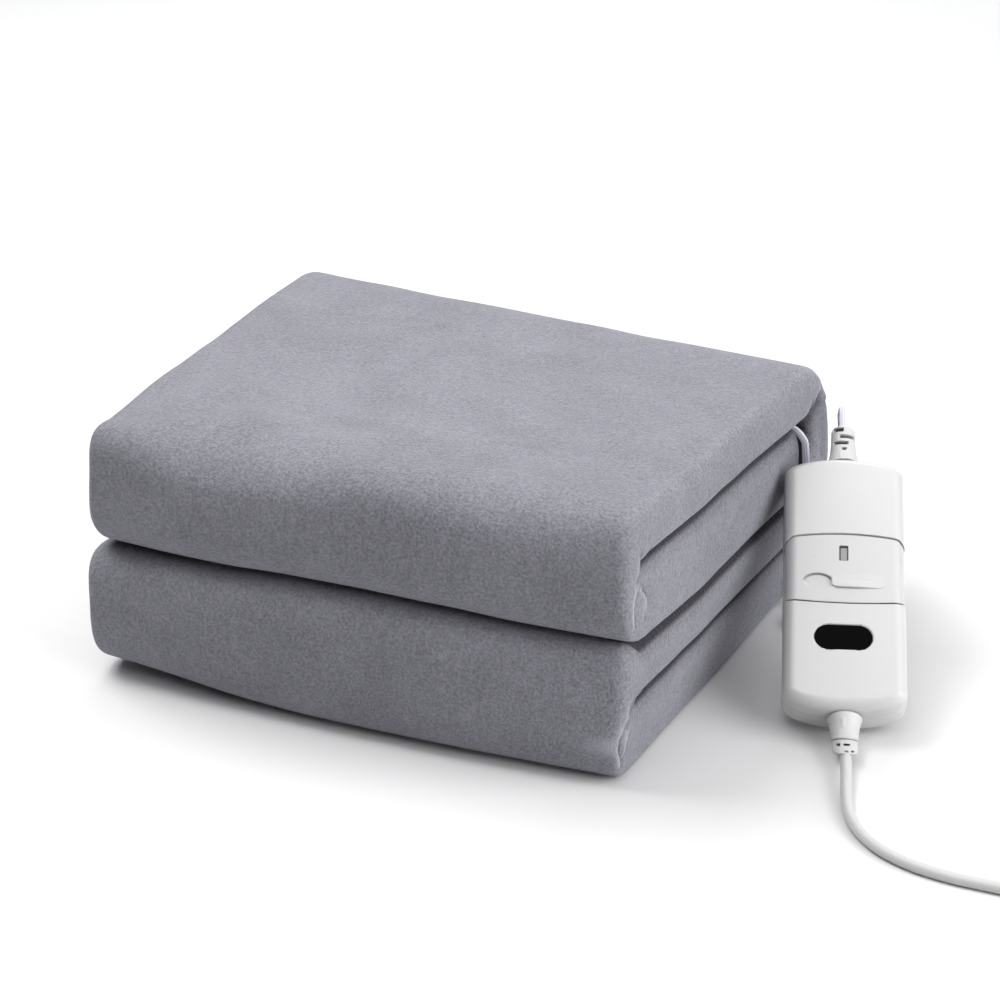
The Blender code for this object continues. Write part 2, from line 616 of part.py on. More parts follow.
def rounded_ring(half_width, low, high, count=5):
    """Rounded rectangle in the X-Z plane."""
    radius = MAINS_RADIUS * 0.4
    corners = ((half_width - radius, high - radius, 0), (radius - half_width, high - radius, 90),
               (radius - half_width, low + radius, 180), (half_width - radius, low + radius, 270))
    points = []
    for x, z, start in corners:
        for angle in np.radians(np.linspace(start, start + 90, count)):
            points.append((x + radius * math.cos(angle), z + radius * math.sin(angle)))
    return np.array(points)


def band_mesh(name, inner, outer, width):
    """Closed band between two outlines in the X-Z plane."""
    count = len(inner)
    rings = [np.stack([ring[:, 0], np.full(count, y), ring[:, 1]], axis=1)
             for ring, y in ((inner, -width / 2), (inner, width / 2), (outer, width / 2), (outer, -width / 2))]
    grid = np.arange(4 * count).reshape(4, count)
    ahead = np.roll(grid, -1, axis=1)
    faces = np.stack([grid, ahead, np.roll(ahead, -1, axis=0), np.roll(grid, -1, axis=0)], axis=-1).reshape(-1, 4)
    mesh = bpy.data.meshes.new(name)
    mesh.from_pydata(np.concatenate(rings).tolist(), [], faces.tolist())
    closed = bmesh.new()
    closed.from_mesh(mesh)
    bmesh.ops.recalc_face_normals(closed, faces=closed.faces)
    closed.to_mesh(mesh)
    closed.free()
    return mesh


def build_plug(shop):
    """Two-pin plug with its boot, lying beside the coil."""
    x, z = TAIL_ROUTE[-1][0], PLUG_SIZE[2] / 2 + FLOOR_CLEAR
    share = np.linspace(0.0, 1.0, 7)
    start = TAIL_ROUTE[-1][1] + SEAM
    boot = np.stack([np.full(7, x), start + share * (PLUG_Y - SEAM - start), np.full(7, z)], axis=1)
    boot_radius = np.interp(share, (0.0, 0.1, 1.0), (0.0040, 0.0048, 0.0074))
    shop.add("plug_boot", tube_mesh("plug_boot", boot, boot_radius, 3), "white_rubber", shop.table)
    body = bmesh.new()
    bmesh.ops.create_cube(body, size=1.0, matrix=Matrix.Diagonal(Vector((*PLUG_SIZE, 1.0))))
    for vert in body.verts:
        if vert.co.y < 0:
            vert.co.x *= 0.78
    bmesh.ops.bevel(body, geom=body.edges[:], offset=0.0035, segments=3, profile=0.5, affect="EDGES")
    mesh = bpy.data.meshes.new("plug_body")
    body.to_mesh(mesh)
    body.free()
    shop.add("plug_body", mesh, "white_plastic", shop.table).location = (x, PLUG_Y + PLUG_SIZE[1] / 2, z)
    for name, side in (("plug_blade_left", -1), ("plug_blade_right", 1)):
        blade = bmesh.new()
        bmesh.ops.create_cube(blade, size=1.0, matrix=Matrix.Diagonal(Vector((*BLADE_SIZE, 1.0))))
        mesh = bpy.data.meshes.new(name)
        blade.to_mesh(mesh)
        blade.free()
        piece = shop.add(name, mesh, "plated_brass", shop.table, smooth=False)
        piece.location = (x + side * BLADE_SPREAD / 2, PLUG_Y + PLUG_SIZE[1] + SEAM + BLADE_SIZE[1] / 2, z)


def main():
    """Build every sub-part."""
    remove_old_objects()
    shop = Workshop()
    build_throw(shop)
    covers = build_case(shop)
    build_fittings(shop, covers)
    for cover in covers.values():
        cover.modifiers.new("even_shading", "WEIGHTED_NORMAL").keep_sharp = True
    build_boots(shop)
    build_cords(shop)
    build_coil(shop)
    build_plug(shop)


main()
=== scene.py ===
"""A plush heated throw folded into a thick stack, its hand controller, lead and mains cord.

Lengths are metres in the frame of the solids: +X runs right along the front of the stack, +Y from
its front folds to its back, +Z up, and the floor is at zero. Numbers times MM are millimetres.
"""
from __future__ import annotations

import logging
import math
from dataclasses import dataclass, field
from enum import Enum
from types import SimpleNamespace
from typing import Any, Callable, Sequence

import bpy
import numpy as np
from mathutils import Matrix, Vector


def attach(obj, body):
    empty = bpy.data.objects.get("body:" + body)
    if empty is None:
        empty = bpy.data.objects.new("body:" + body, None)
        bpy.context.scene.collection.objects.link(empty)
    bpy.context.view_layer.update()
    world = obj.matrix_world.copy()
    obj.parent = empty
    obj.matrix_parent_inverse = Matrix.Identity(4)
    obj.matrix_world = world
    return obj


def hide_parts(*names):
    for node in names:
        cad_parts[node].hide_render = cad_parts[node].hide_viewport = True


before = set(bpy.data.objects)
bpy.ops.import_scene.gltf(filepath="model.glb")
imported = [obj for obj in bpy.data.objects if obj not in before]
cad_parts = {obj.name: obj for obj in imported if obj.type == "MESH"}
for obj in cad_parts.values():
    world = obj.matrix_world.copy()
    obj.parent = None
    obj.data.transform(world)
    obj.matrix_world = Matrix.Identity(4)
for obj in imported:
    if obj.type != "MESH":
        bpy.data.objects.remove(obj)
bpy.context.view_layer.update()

LOG = logging.getLogger("heated_throw")
Array = np.ndarray
Socket = bpy.types.NodeSocket
Material = bpy.types.Material
Piece = bpy.types.Object
Pair = tuple[float, float]
Triple = tuple[float, float, float]
Line = Callable[[Array], Array]
Relief = Callable[[Array, Array], Array]

MM = 0.001
FOOTPRINT_MIDDLE = np.array([0.2494, 0.1915, 0.0])
RIGHT, UP = np.array([1.0, 0.0, 0.0]), np.array([0.0, 0.0, 1.0])


# ------------------------------------------------------------------------------ small mathematics
def smooth_step(value: Array) -> Array:
    """Cubic ease from 0 to 1 of values clipped to that range."""
    share = np.clip(value, 0.0, 1.0)
    return share * share * (3.0 - 2.0 * share)


def bell(value: Array, width: float) -> Array:
    """Bell curve of a value: e to the power of minus the square of value / width."""
    return np.exp(-(value / width) ** 2)


def superellipse(angle: Array, power: float) -> tuple[Array, Array]:
    """Cosine and sine raised to 2 / power with their signs kept, so a circle turns squarer."""
    cos, sin = np.cos(angle), np.sin(angle)
    return np.sign(cos) * np.abs(cos) ** (2.0 / power), np.sign(sin) * np.abs(sin) ** (2.0 / power)


def whole_turn(count: int) -> Array:
    """Angles spread evenly round a circle."""
    return np.linspace(0.0, 2.0 * math.pi, count, endpoint=False)


def joined(*parts: Array | float) -> Array:
    """Coordinates stretched to one shape and stacked along a new last axis."""
    return np.stack(np.broadcast_arrays(*parts), axis=-1)


def rotation(axis: int, angle: float) -> Array:
    """Matrix of a turn about one axis.

    Args:
        axis: 0 for X, 1 for Y, 2 for Z.
        angle: the turn in radians.

    Returns:
        The matrix, three rows of three.
    """
    first, second = (axis + 1) % 3, (axis + 2) % 3
    matrix = np.eye(3)
    matrix[first, first] = matrix[second, second] = math.cos(angle)
    matrix[second, first], matrix[first, second] = math.sin(angle), -math.sin(angle)
    return matrix


def crowded_ends(count: int, crowd: float, start: float = 0.0, stop: float = 1.0) -> Array:
    """Parameter values that lie closer together near both ends.

    The formula is t minus crowd times sin(2 pi t) / 2 pi, whose slope is 1 - crowd at the ends.

    Args:
        count: how many values.
        crowd: 0 for even spacing, towards 1 for very close ends.
        start: first value.
        stop: last value.

    Returns:
        The values in rising or falling order.
    """
    share = np.linspace(0.0, 1.0, count)
    eased = share - crowd * np.sin(2.0 * math.pi * share) / (2.0 * math.pi)
    return start + (stop - start) * eased


def even_points(line: Array, spacing: float) -> Array:
    """The same line with its points a constant distance apart along it.

    Args:
        line: points of the line.
        spacing: distance wanted between them.

    Returns:
        An array of points, one row each.
    """
    travelled = np.concatenate([[0.0], np.cumsum(np.linalg.norm(np.diff(line, axis=0), axis=1))])
    wanted = np.linspace(0.0, travelled[-1], max(3, int(round(travelled[-1] / spacing)) + 1))
    return joined(*(np.interp(wanted, travelled, line[:, axis]) for axis in range(3)))


def smooth_route(route: Sequence[Triple], spacing: float) -> Array:
    """Evenly spaced points on the Catmull-Rom curve through a route's own points.

    Args:
        route: the points that the cord is laid through.
        spacing: distance between the points returned.

    Returns:
        An array of points, one row each.
    """
    knots = np.asarray(route, dtype=float)
    before = np.concatenate([[2 * knots[0] - knots[1]], knots[:-2]])
    after = np.concatenate([knots[2:], [2 * knots[-1] - knots[-2]]])
    t = np.linspace(0.0, 1.0, 24, endpoint=False)[None, :, None]
    p0, p1, p2, p3 = (part[:, None, :] for part in (before, knots[:-1], knots[1:], after))
    dense = 0.5 * (2 * p1 + (p2 - p0) * t + (2 * p0 - 5 * p1 + 4 * p2 - p3) * t ** 2
                   + (3 * p1 - p0 - 3 * p2 + p3) * t ** 3)
    return even_points(np.concatenate([dense.reshape(-1, 3), knots[-1:]]), spacing)


def line_length(line: Array) -> float:
    """Length along a line of points."""
    return float(np.linalg.norm(np.diff(line, axis=0), axis=1).sum())


# ------------------------------------------------------------------------------ meshes from grids
def grid_quads(rows: int, columns: int, close_columns: bool) -> Array:
    """Quads between the neighbours of a grid of points numbered row by row.

    Args:
        rows: number of rows.
        columns: number of points in a row.
        close_columns: join the last column to the first.

    Returns:
        One row of four point numbers for each quad.
    """
    numbers = np.arange(rows * columns).reshape(rows, columns)
    ahead = np.roll(numbers, -1, axis=1)
    if not close_columns:
        numbers, ahead = numbers[:, :-1], ahead[:, :-1]
    return joined(numbers[:-1], ahead[:-1], ahead[1:], numbers[1:]).reshape(-1, 4)


def fan(ring: Array, centre: int) -> Array:
    """Triangles from a closed ring of point numbers to one centre point."""
    return joined(ring, np.roll(ring, -1), centre)


def make_piece(name: str, points: Array, faces: Sequence[Array], material: Material,
               sharp_angle: float = 40.0) -> Piece:
    """Make a closed piece from arrays of points and faces, turned to face outwards.

    The sum of the signed tetrahedra from the origin to each triangle is negative when they face in.

    Args:
        name: the piece's name.
        points: one row of x, y, z for each point, in the frame.
        faces: arrays of point numbers, quads or triangles.
        material: its finish.
        sharp_angle: edges steeper than this many degrees stay crisp.

    Returns:
        The new object, at the origin.
    """
    triangles = np.concatenate([part[:, [0, 1, 2]] for part in faces]
                               + [part[:, [0, 2, 3]] for part in faces if part.shape[1] == 4])
    a, b, c = (points[triangles[:, corner]] for corner in range(3))
    step = -1 if np.einsum("ij,ij->", a, np.cross(b, c)) < 0 else 1
    mesh = bpy.data.meshes.new(name)
    mesh.from_pydata(points.tolist(), [], [face for part in faces for face in part[:, ::step].tolist()])
    mesh.validate()
    mesh.materials.append(material)
    mesh.shade_smooth()
    mesh.set_sharp_from_angle(angle=math.radians(sharp_angle))
    piece = bpy.data.objects.new(name, mesh)
    bpy.context.scene.collection.objects.link(piece)
    return piece


def mark(piece: Piece, name: str, values: Array) -> None:
    """Keep one number for each point on a piece's mesh, for its finish to read."""
    layer = piece.data.attributes.new(name, "FLOAT", "POINT")
    layer.data.foreach_set("value", np.ascontiguousarray(values.reshape(-1), dtype=np.float32))


def dress(piece: Piece, slot: str, *nodes: str, body: str = "throw") -> Piece:
    """Let a piece ride its body and stand for its nodes.

    Args:
        piece: the piece.
        slot: not used.
        nodes: the nodes of the solids that it replaces.
        body: the body that it moves with.

    Returns:
        The same piece.
    """
    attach(piece, body)
    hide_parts(*nodes)
    LOG.info("%s stands for %s", piece.name, ", ".join(nodes))
    return piece


def tube_grid(line: Array, first_side: Array, offsets: Array) -> Array:
    """Points of a tube: the line plus side and up vectors times the section's two offsets.

    The side vector is carried along without twist: each is the last one with its part along the new
    tangent taken out.

    Args:
        line: centre line, one row for each station.
        first_side: wanted side vector at its start.
        offsets: section offsets (stations, points of the ring, 2) or (points of the ring, 2).

    Returns:
        Grid of points (stations, points of the ring, 3).
    """
    tangent = np.gradient(line, axis=0)
    tangent /= np.linalg.norm(tangent, axis=1, keepdims=True)
    side, current = np.empty_like(line), first_side
    for index, along in enumerate(tangent):
        current = current - along * float(current @ along)
        current = current / np.linalg.norm(current)
        side[index] = current
    up = np.cross(tangent, side)
    return line[:, None, :] + offsets[..., :1] * side[:, None, :] + offsets[..., 1:] * up[:, None, :]


def closed_tube(name: str, grid: Array, material: Material, sharp_angle: float = 40.0) -> Piece:
    """A closed piece from rings of points, with a fan at either end.

    Args:
        name: the piece's name.
        grid: points (stations, points of the ring, 3).
        material: its finish.
        sharp_angle: edges steeper than this many degrees stay crisp.

    Returns:
        The new object.
    """
    stations, ring = grid.shape[:2]
    points = np.concatenate([grid.reshape(-1, 3), grid[[0, -1]].mean(axis=1)])
    first = np.arange(ring)
    caps = [fan(first[::-1], stations * ring), fan(first + (stations - 1) * ring, stations * ring + 1)]
    return make_piece(name, points, [grid_quads(stations, ring, True), *caps], material, sharp_angle)


def ring_section(count: int, half_width: float = 1.0, half_height: float = 1.0, power: float = 2.0) -> Array:
    """Closed oval section, two offsets for each point."""
    cos, sin = superellipse(whole_turn(count), power)
    return joined(half_width * cos, half_height * sin)


# ------------------------------------------------------------------------------ finishes
class NodeBench:
    """A new material with a Principled shader, and short ways to add the nodes of a pattern."""

    def __init__(self, name: str) -> None:
        """Start a plain material.

        Args:
            name: its name.
        """
        self.material = bpy.data.materials.new(name)
        self.material.use_nodes = True
        self.tree = self.material.node_tree
        self.place = self.tree.nodes.new("ShaderNodeTexCoord")

    def fill(self, node: bpy.types.Node, inputs: dict[str | int, Any]) -> None:
        """Link each input that is given a socket and set each that is given a value.

        Args:
            node: the node.
            inputs: sockets and values by the input's name or number.
        """
        for name, value in inputs.items():
            if isinstance(value, Socket):
                self.tree.links.new(value, node.inputs[name])
            else:
                node.inputs[name].default_value = value

    def add(self, kind: str, output: str, inputs: dict[str | int, Any], **settings: str) -> Socket:
        """Add a node.

        Args:
            kind: its type, without the ShaderNode in front.
            output: name of the output that is wanted.
            inputs: sockets and values by the input's name or number.
            settings: its own properties.

        Returns:
            The output.
        """
        node = self.tree.nodes.new(f"ShaderNode{kind}")
        for name, value in settings.items():
            setattr(node, name, value)
        self.fill(node, inputs)
        return node.outputs[output]

    def finish(self, **inputs: Any) -> Material:
        """Fill the shader's sockets.

        Args:
            inputs: sockets and values by the input's name, with underscores for spaces.

        Returns:
            The material.
        """
        self.fill(self.tree.nodes["Principled BSDF"],
                  {name.replace("_", " "): value for name, value in inputs.items()})
        return self.material

    def mapped(self, *stretch: float) -> Socket:
        """The object's own coordinates scaled along each axis."""
        return self.add("Mapping", "Vector", {"Vector": self.place.outputs["Object"],
                                              "Scale": stretch or (1.0, 1.0, 1.0)})

    def noise(self, vector: Socket, scale: float, detail: float, roughness: float = 0.5,
              distortion: float = 0.0) -> Socket:
        """Fractal noise, its factor socket."""
        return self.add("TexNoise", "Fac", {"Scale": scale, "Detail": detail, "Roughness": roughness,
                                            "Distortion": distortion, "Vector": vector})

    def remap(self, source: Socket, low: float, high: float, to_low: float, to_high: float) -> Socket:
        """Map one range of values to another, clamped."""
        return self.add("MapRange", "Result", {"From Min": low, "From Max": high, "To Min": to_low,
                                               "To Max": to_high, "Value": source})

    def combine(self, operation: str, first: Socket, second: Socket) -> Socket:
        """Arithmetic on two values."""
        return self.add("Math", "Value", {0: first, 1: second}, operation=operation)

    def blend(self, factor: Socket, low: Socket | Triple, high: Triple) -> Socket:
        """Blend from a pattern or a plain colour to a plain colour."""
        start = low if isinstance(low, Socket) else (*low, 1.0)
        return self.add("Mix", "Result", {"A": start, "B": (*high, 1.0), "Factor": factor}, data_type="RGBA")

    def measure(self, name: str) -> Socket:
        """A number kept on the mesh's points under that name."""
        return self.add("Attribute", "Fac", {}, attribute_name=name)

    def bump(self, height: Socket, strength: float, distance: float, under: Socket | None = None) -> Socket:
        """Surface relief from a height.

        Args:
            height: the pattern that gives the height.
            strength: how strongly it shows.
            distance: the relief's real height.
            under: another relief that it lies on.

        Returns:
            The normal's socket.
        """
        below = {} if under is None else {"Normal": under}
        return self.add("Bump", "Normal", {"Strength": strength, "Distance": distance, "Height": height,
                                           **below})


def scaled(colour: Triple, share: float) -> Triple:
    """A colour made darker or lighter."""
    return tuple(value * share for value in colour)


@dataclass(frozen=True)
class PlushFinish:
    """Short brushed pile: two close tones, nap marks a hand wide, brush strokes and a grain of tufts.

    Each wash blends in a painted highlight or painted shade where a number kept on the mesh runs through a
    range:
    the number's name, the range, the wash's strength at either end of it, and whether it is the painted
    highlight.
    """

    dark: Triple = (0.112, 0.112, 0.131)
    light: Triple = (0.276, 0.275, 0.310)
    # deep is the colour of painted shade, and the colour after it that of painted highlight
    deep: Triple = (0.022, 0.022, 0.028)
    painted_highlight: Triple = (0.46, 0.46, 0.52)
    clouds: float = 12.0
    stroke: float = 260.0
    tuft: float = 520.0
    cloud_share: float = 0.26
    stroke_share: float = 0.16
    tuft_share: float = 0.58
    # crease paints highlight on ridges and shade in hollows, above_slit paints highlight on the slits' lips,
    # below_slit paints shade under them, and the last paints shade deep in the folds
    washes: tuple[tuple[str, float, float, float, float, bool], ...] = (
        ("crease", 0.0, 1.0, 0.0, 0.55, True), ("crease", -1.0, 0.0, 0.86, 0.0, False),
        ("above_slit", 0.3, 2.0, 0.30, 0.0, True), ("below_slit", 5.0, 7.8, 0.94, 0.0, False),
        ("below_slit", 5.0, 15.0, 0.30, 0.0, False), ("fold_shade", 0.0, 1.0, 0.0, 0.92, False),
    )

    def build(self, name: str) -> Material:
        """Make the material.

        Args:
            name: its name.

        Returns:
            The new material.
        """
        bench = NodeBench(name)
        plain = bench.mapped()
        clouds = bench.noise(plain, self.clouds, 4.0, 0.6, 0.6)
        strokes = bench.noise(bench.mapped(1.0, 0.50, 0.42), self.stroke, 2.0, 0.6, 0.6)
        tufts = bench.noise(plain, self.tuft, 2.0, 0.8)
        parts = (bench.remap(clouds, 0.3, 0.7, 0.0, self.cloud_share),
                 bench.remap(strokes, 0.3, 0.7, 0.0, self.stroke_share),
                 bench.remap(tufts, 0.34, 0.66, 0.0, self.tuft_share))
        tone = bench.combine("ADD", bench.combine("ADD", parts[0], parts[1]), parts[2])
        pile = bench.blend(tone, self.dark, self.light)
        # each wash blends toward painted highlight or painted shade
        for source, *span, is_highlight in self.washes:
            wash = bench.remap(bench.measure(source), *span)
            pile = bench.blend(wash, pile, self.painted_highlight if is_highlight else self.deep)
        relief = bench.bump(tufts, 0.85, 1.2 * MM, bench.bump(strokes, 0.45, 1.1 * MM))
        return bench.finish(Base_Color=pile, Normal=relief, Roughness=0.95, Specular_IOR_Level=0.10,
                            Sheen_Weight=0.30, Sheen_Roughness=0.45, Sheen_Tint=(0.92, 0.92, 1.0, 1.0))


@dataclass(frozen=True)
class MouldedFinish:
    """Moulded plastic or rubber: an even colour with the faintest cloud and a spark-eroded grain.

    With hollows it blends toward a near-black copy of its colour where the mesh's own number says so: painted
    shade in slots, grooves and pockets.
    """

    colour: Triple
    roughness: float
    grain: float = 1400.0
    relief: float = 0.05
    cloud: float = 0.03
    cloud_scale: float = 26.0
    gloss: float = 0.5
    hollows: bool = False

    def build(self, name: str) -> Material:
        """Make the material.

        Args:
            name: its name.

        Returns:
            The new material.
        """
        bench = NodeBench(name)
        plain = bench.mapped()
        grain = bench.noise(plain, self.grain, 2.0, 0.6)
        clouds = bench.noise(plain, self.cloud_scale, 3.0)
        moulded = bench.blend(clouds, scaled(self.colour, 1.0 - self.cloud), self.colour)
        if self.hollows:
            # painted shade: darken toward 7 % of the colour where the hollow number is high
            moulded = bench.blend(bench.measure("hollow"), moulded, scaled(self.colour, 0.07))
        return bench.finish(
            Base_Color=moulded, Normal=bench.bump(grain, self.relief, 0.15 * MM),
            Specular_IOR_Level=self.gloss,
            Roughness=bench.remap(grain, 0.3, 0.7, self.roughness * 0.9, self.roughness * 1.1))


@dataclass(frozen=True)
class TapeFinish:
    """Hook-and-loop tape: rows of loops in two directions over a dark ground."""

    colour: Triple = (0.028, 0.028, 0.032)
    pitch: float = 900.0

    def build(self, name: str) -> Material:
        """Make the material.

        Args:
            name: its name.

        Returns:
            The new material.
        """
        bench = NodeBench(name)
        loops = bench.noise(bench.mapped(), self.pitch, 1.0)
        ribs = bench.noise(bench.mapped(0.25, 0.25, 2.4), self.pitch * 0.5, 1.0)
        fluff = bench.combine("MULTIPLY", loops, ribs)
        tone = bench.blend(bench.remap(fluff, 0.15, 0.4, 0.0, 1.0), self.colour, scaled(self.colour, 2.6))
        return bench.finish(Base_Color=tone, Normal=bench.bump(fluff, 0.6, 0.4 * MM), Roughness=0.9,
                            Sheen_Weight=0.3)


@dataclass(frozen=True)
class PlatedFinish:
    """Plated metal pins: bright, with fine drawn lines along their length."""

    colour: Triple = (0.76, 0.74, 0.70)

    def build(self, name: str) -> Material:
        """Make the material.

        Args:
            name: its name.

        Returns:
            The new material.
        """
        bench = NodeBench(name)
        drawn = bench.noise(bench.mapped(1.0, 0.04, 1.0), 2600.0, 2.0)
        plated = bench.blend(drawn, scaled(self.colour, 0.93), self.colour)
        return bench.finish(Base_Color=plated, Metallic=1.0,
                            Roughness=bench.remap(drawn, 0.3, 0.7, 0.16, 0.32),
                            Normal=bench.bump(drawn, 0.05, 0.1 * MM))


@dataclass(frozen=True)
class FloorFinish:
    """Plain pale paper floor."""

    colour: Triple = (0.68, 0.68, 0.685)

    def build(self, name: str) -> Material:
        """Make the material of that name."""
        return NodeBench(name).finish(Base_Color=(*self.colour, 1.0), Roughness=0.9, Specular_IOR_Level=0.1)


Finish = PlushFinish | MouldedFinish | TapeFinish | PlatedFinish | FloorFinish


def mixed(name: str, finish: Finish) -> Any:
    """Field whose material is made together with the palette."""
    return field(default_factory=lambda: finish.build(name))


@dataclass
class Palette:
    """Every finish of the object, built once."""

    plush: Material = mixed("plush_pile", PlushFinish())
    white: Material = mixed("white_case", MouldedFinish((0.52, 0.52, 0.518), 0.36))
    # the panel and the rubber take painted shade from the hollow number kept on their meshes
    panel: Material = mixed("white_panel", MouldedFinish((0.505, 0.505, 0.503), 0.40, hollows=True))
    rubber: Material = mixed("white_rubber", MouldedFinish((0.51, 0.51, 0.507), 0.52, grain=900.0,
                                                           relief=0.08, hollows=True))
    flag: Material = mixed("grey_flag", MouldedFinish((0.26, 0.26, 0.265), 0.45))
    window: Material = mixed("dark_window", MouldedFinish((0.0012, 0.0012, 0.0015), 0.40, relief=0.0,
                                                          cloud=0.2, gloss=0.03))
    sheath: Material = mixed("lead_sheath", MouldedFinish((0.63, 0.62, 0.72), 0.45, grain=1100.0,
                                                          relief=0.06))
    tape: Material = mixed("tie_tape", TapeFinish())
    metal: Material = mixed("plated_pins", PlatedFinish())
    floor: Material = mixed("pale_floor", FloorFinish())


# ------------------------------------------------------------------------------ camera, light, floor
@dataclass
class Studio:
    """The photograph's viewpoint, soft lights and a pale floor.

    Each lamp is its name, its place, the point that it is aimed at, its size and its power.
    """

    place: Triple = (0.5722, -1.4721, 0.8401)
    pitch: float = 25.329
    turn: float = 22.623
    focal: float = 93.6
    floor_size: float = 7.0
    surround: float = 0.04
    lamps: tuple[tuple[str, Triple, Triple, float, float], ...] = (
        ("overhead", (0.0, 0.0, 2.3), (0.0, 0.0, 0.0), 1.4, 10.0),
        ("left_key", (-1.3, 0.0, 2.0), (0.0, 0.0, 0.0), 1.4, 54.0),
        ("right_key", (1.6, 0.2, 1.8), (0.0, 0.0, 0.0), 1.4, 12.0),
        ("front_fill", (0.0, -1.3, 2.2), (0.0, 0.0, 0.0), 1.4, 13.0),
        ("right_fill", (2.2, -0.30, 0.85), (0.0, 0.0, 0.1), 2.0, 64.0),
        ("far_wash", (-0.6, 2.8, 2.0), (-0.6, 2.4, 0.0), 2.4, 58.0),
    )

    def stand(self, name: str, data: bpy.types.ID, place: Triple, look: Vector) -> Piece:
        """Put a camera or a light at a place.

        Args:
            name: the object's name.
            data: its camera or light data.
            place: where it stands.
            look: the direction that it looks in.

        Returns:
            The new object.
        """
        thing = bpy.data.objects.new(name, data)
        thing.location = place
        thing.rotation_euler = look.to_track_quat("-Z", "Y").to_euler()
        bpy.context.scene.collection.objects.link(thing)
        return thing

    def camera(self) -> None:
        """Camera at the photograph's place and angle."""
        pitch, turn = math.radians(self.pitch), math.radians(self.turn)
        look = Vector((-math.sin(turn) * math.cos(pitch), math.cos(turn) * math.cos(pitch), -math.sin(pitch)))
        data = bpy.data.cameras.new("photo_camera")
        data.lens, data.sensor_width, data.clip_start, data.clip_end = self.focal, 36.0, 0.05, 50.0
        bpy.context.scene.camera = self.stand("photo_camera", data, self.place, look)

    def lights(self) -> None:
        """Square soft lamps in a dim white surround."""
        for name, place, aim, size, power in self.lamps:
            data = bpy.data.lights.new(name, "AREA")
            data.size, data.energy = size, power
            self.stand(name, data, place, Vector(aim) - Vector(place))
        world = bpy.data.worlds.new("surround")
        world.use_nodes = True
        background = world.node_tree.nodes["Background"]
        background.inputs["Color"].default_value = (1.0, 1.0, 1.0, 1.0)
        background.inputs["Strength"].default_value = self.surround
        bpy.context.scene.world = world
        bpy.context.scene.view_settings.view_transform = "Standard"

    def floor(self, palette: Palette) -> None:
        """Flat pale floor under everything.

        Args:
            palette: the finishes.
        """
        half = self.floor_size / 2
        mesh = bpy.data.meshes.new("floor")
        corners = [(-half, -half, 0), (half, -half, 0), (half, half, 0), (-half, half, 0)]
        mesh.from_pydata(corners, [], [(0, 1, 2, 3)])
        mesh.materials.append(palette.floor)
        floor = bpy.data.objects.new("floor", mesh)
        bpy.context.scene.collection.objects.link(floor)


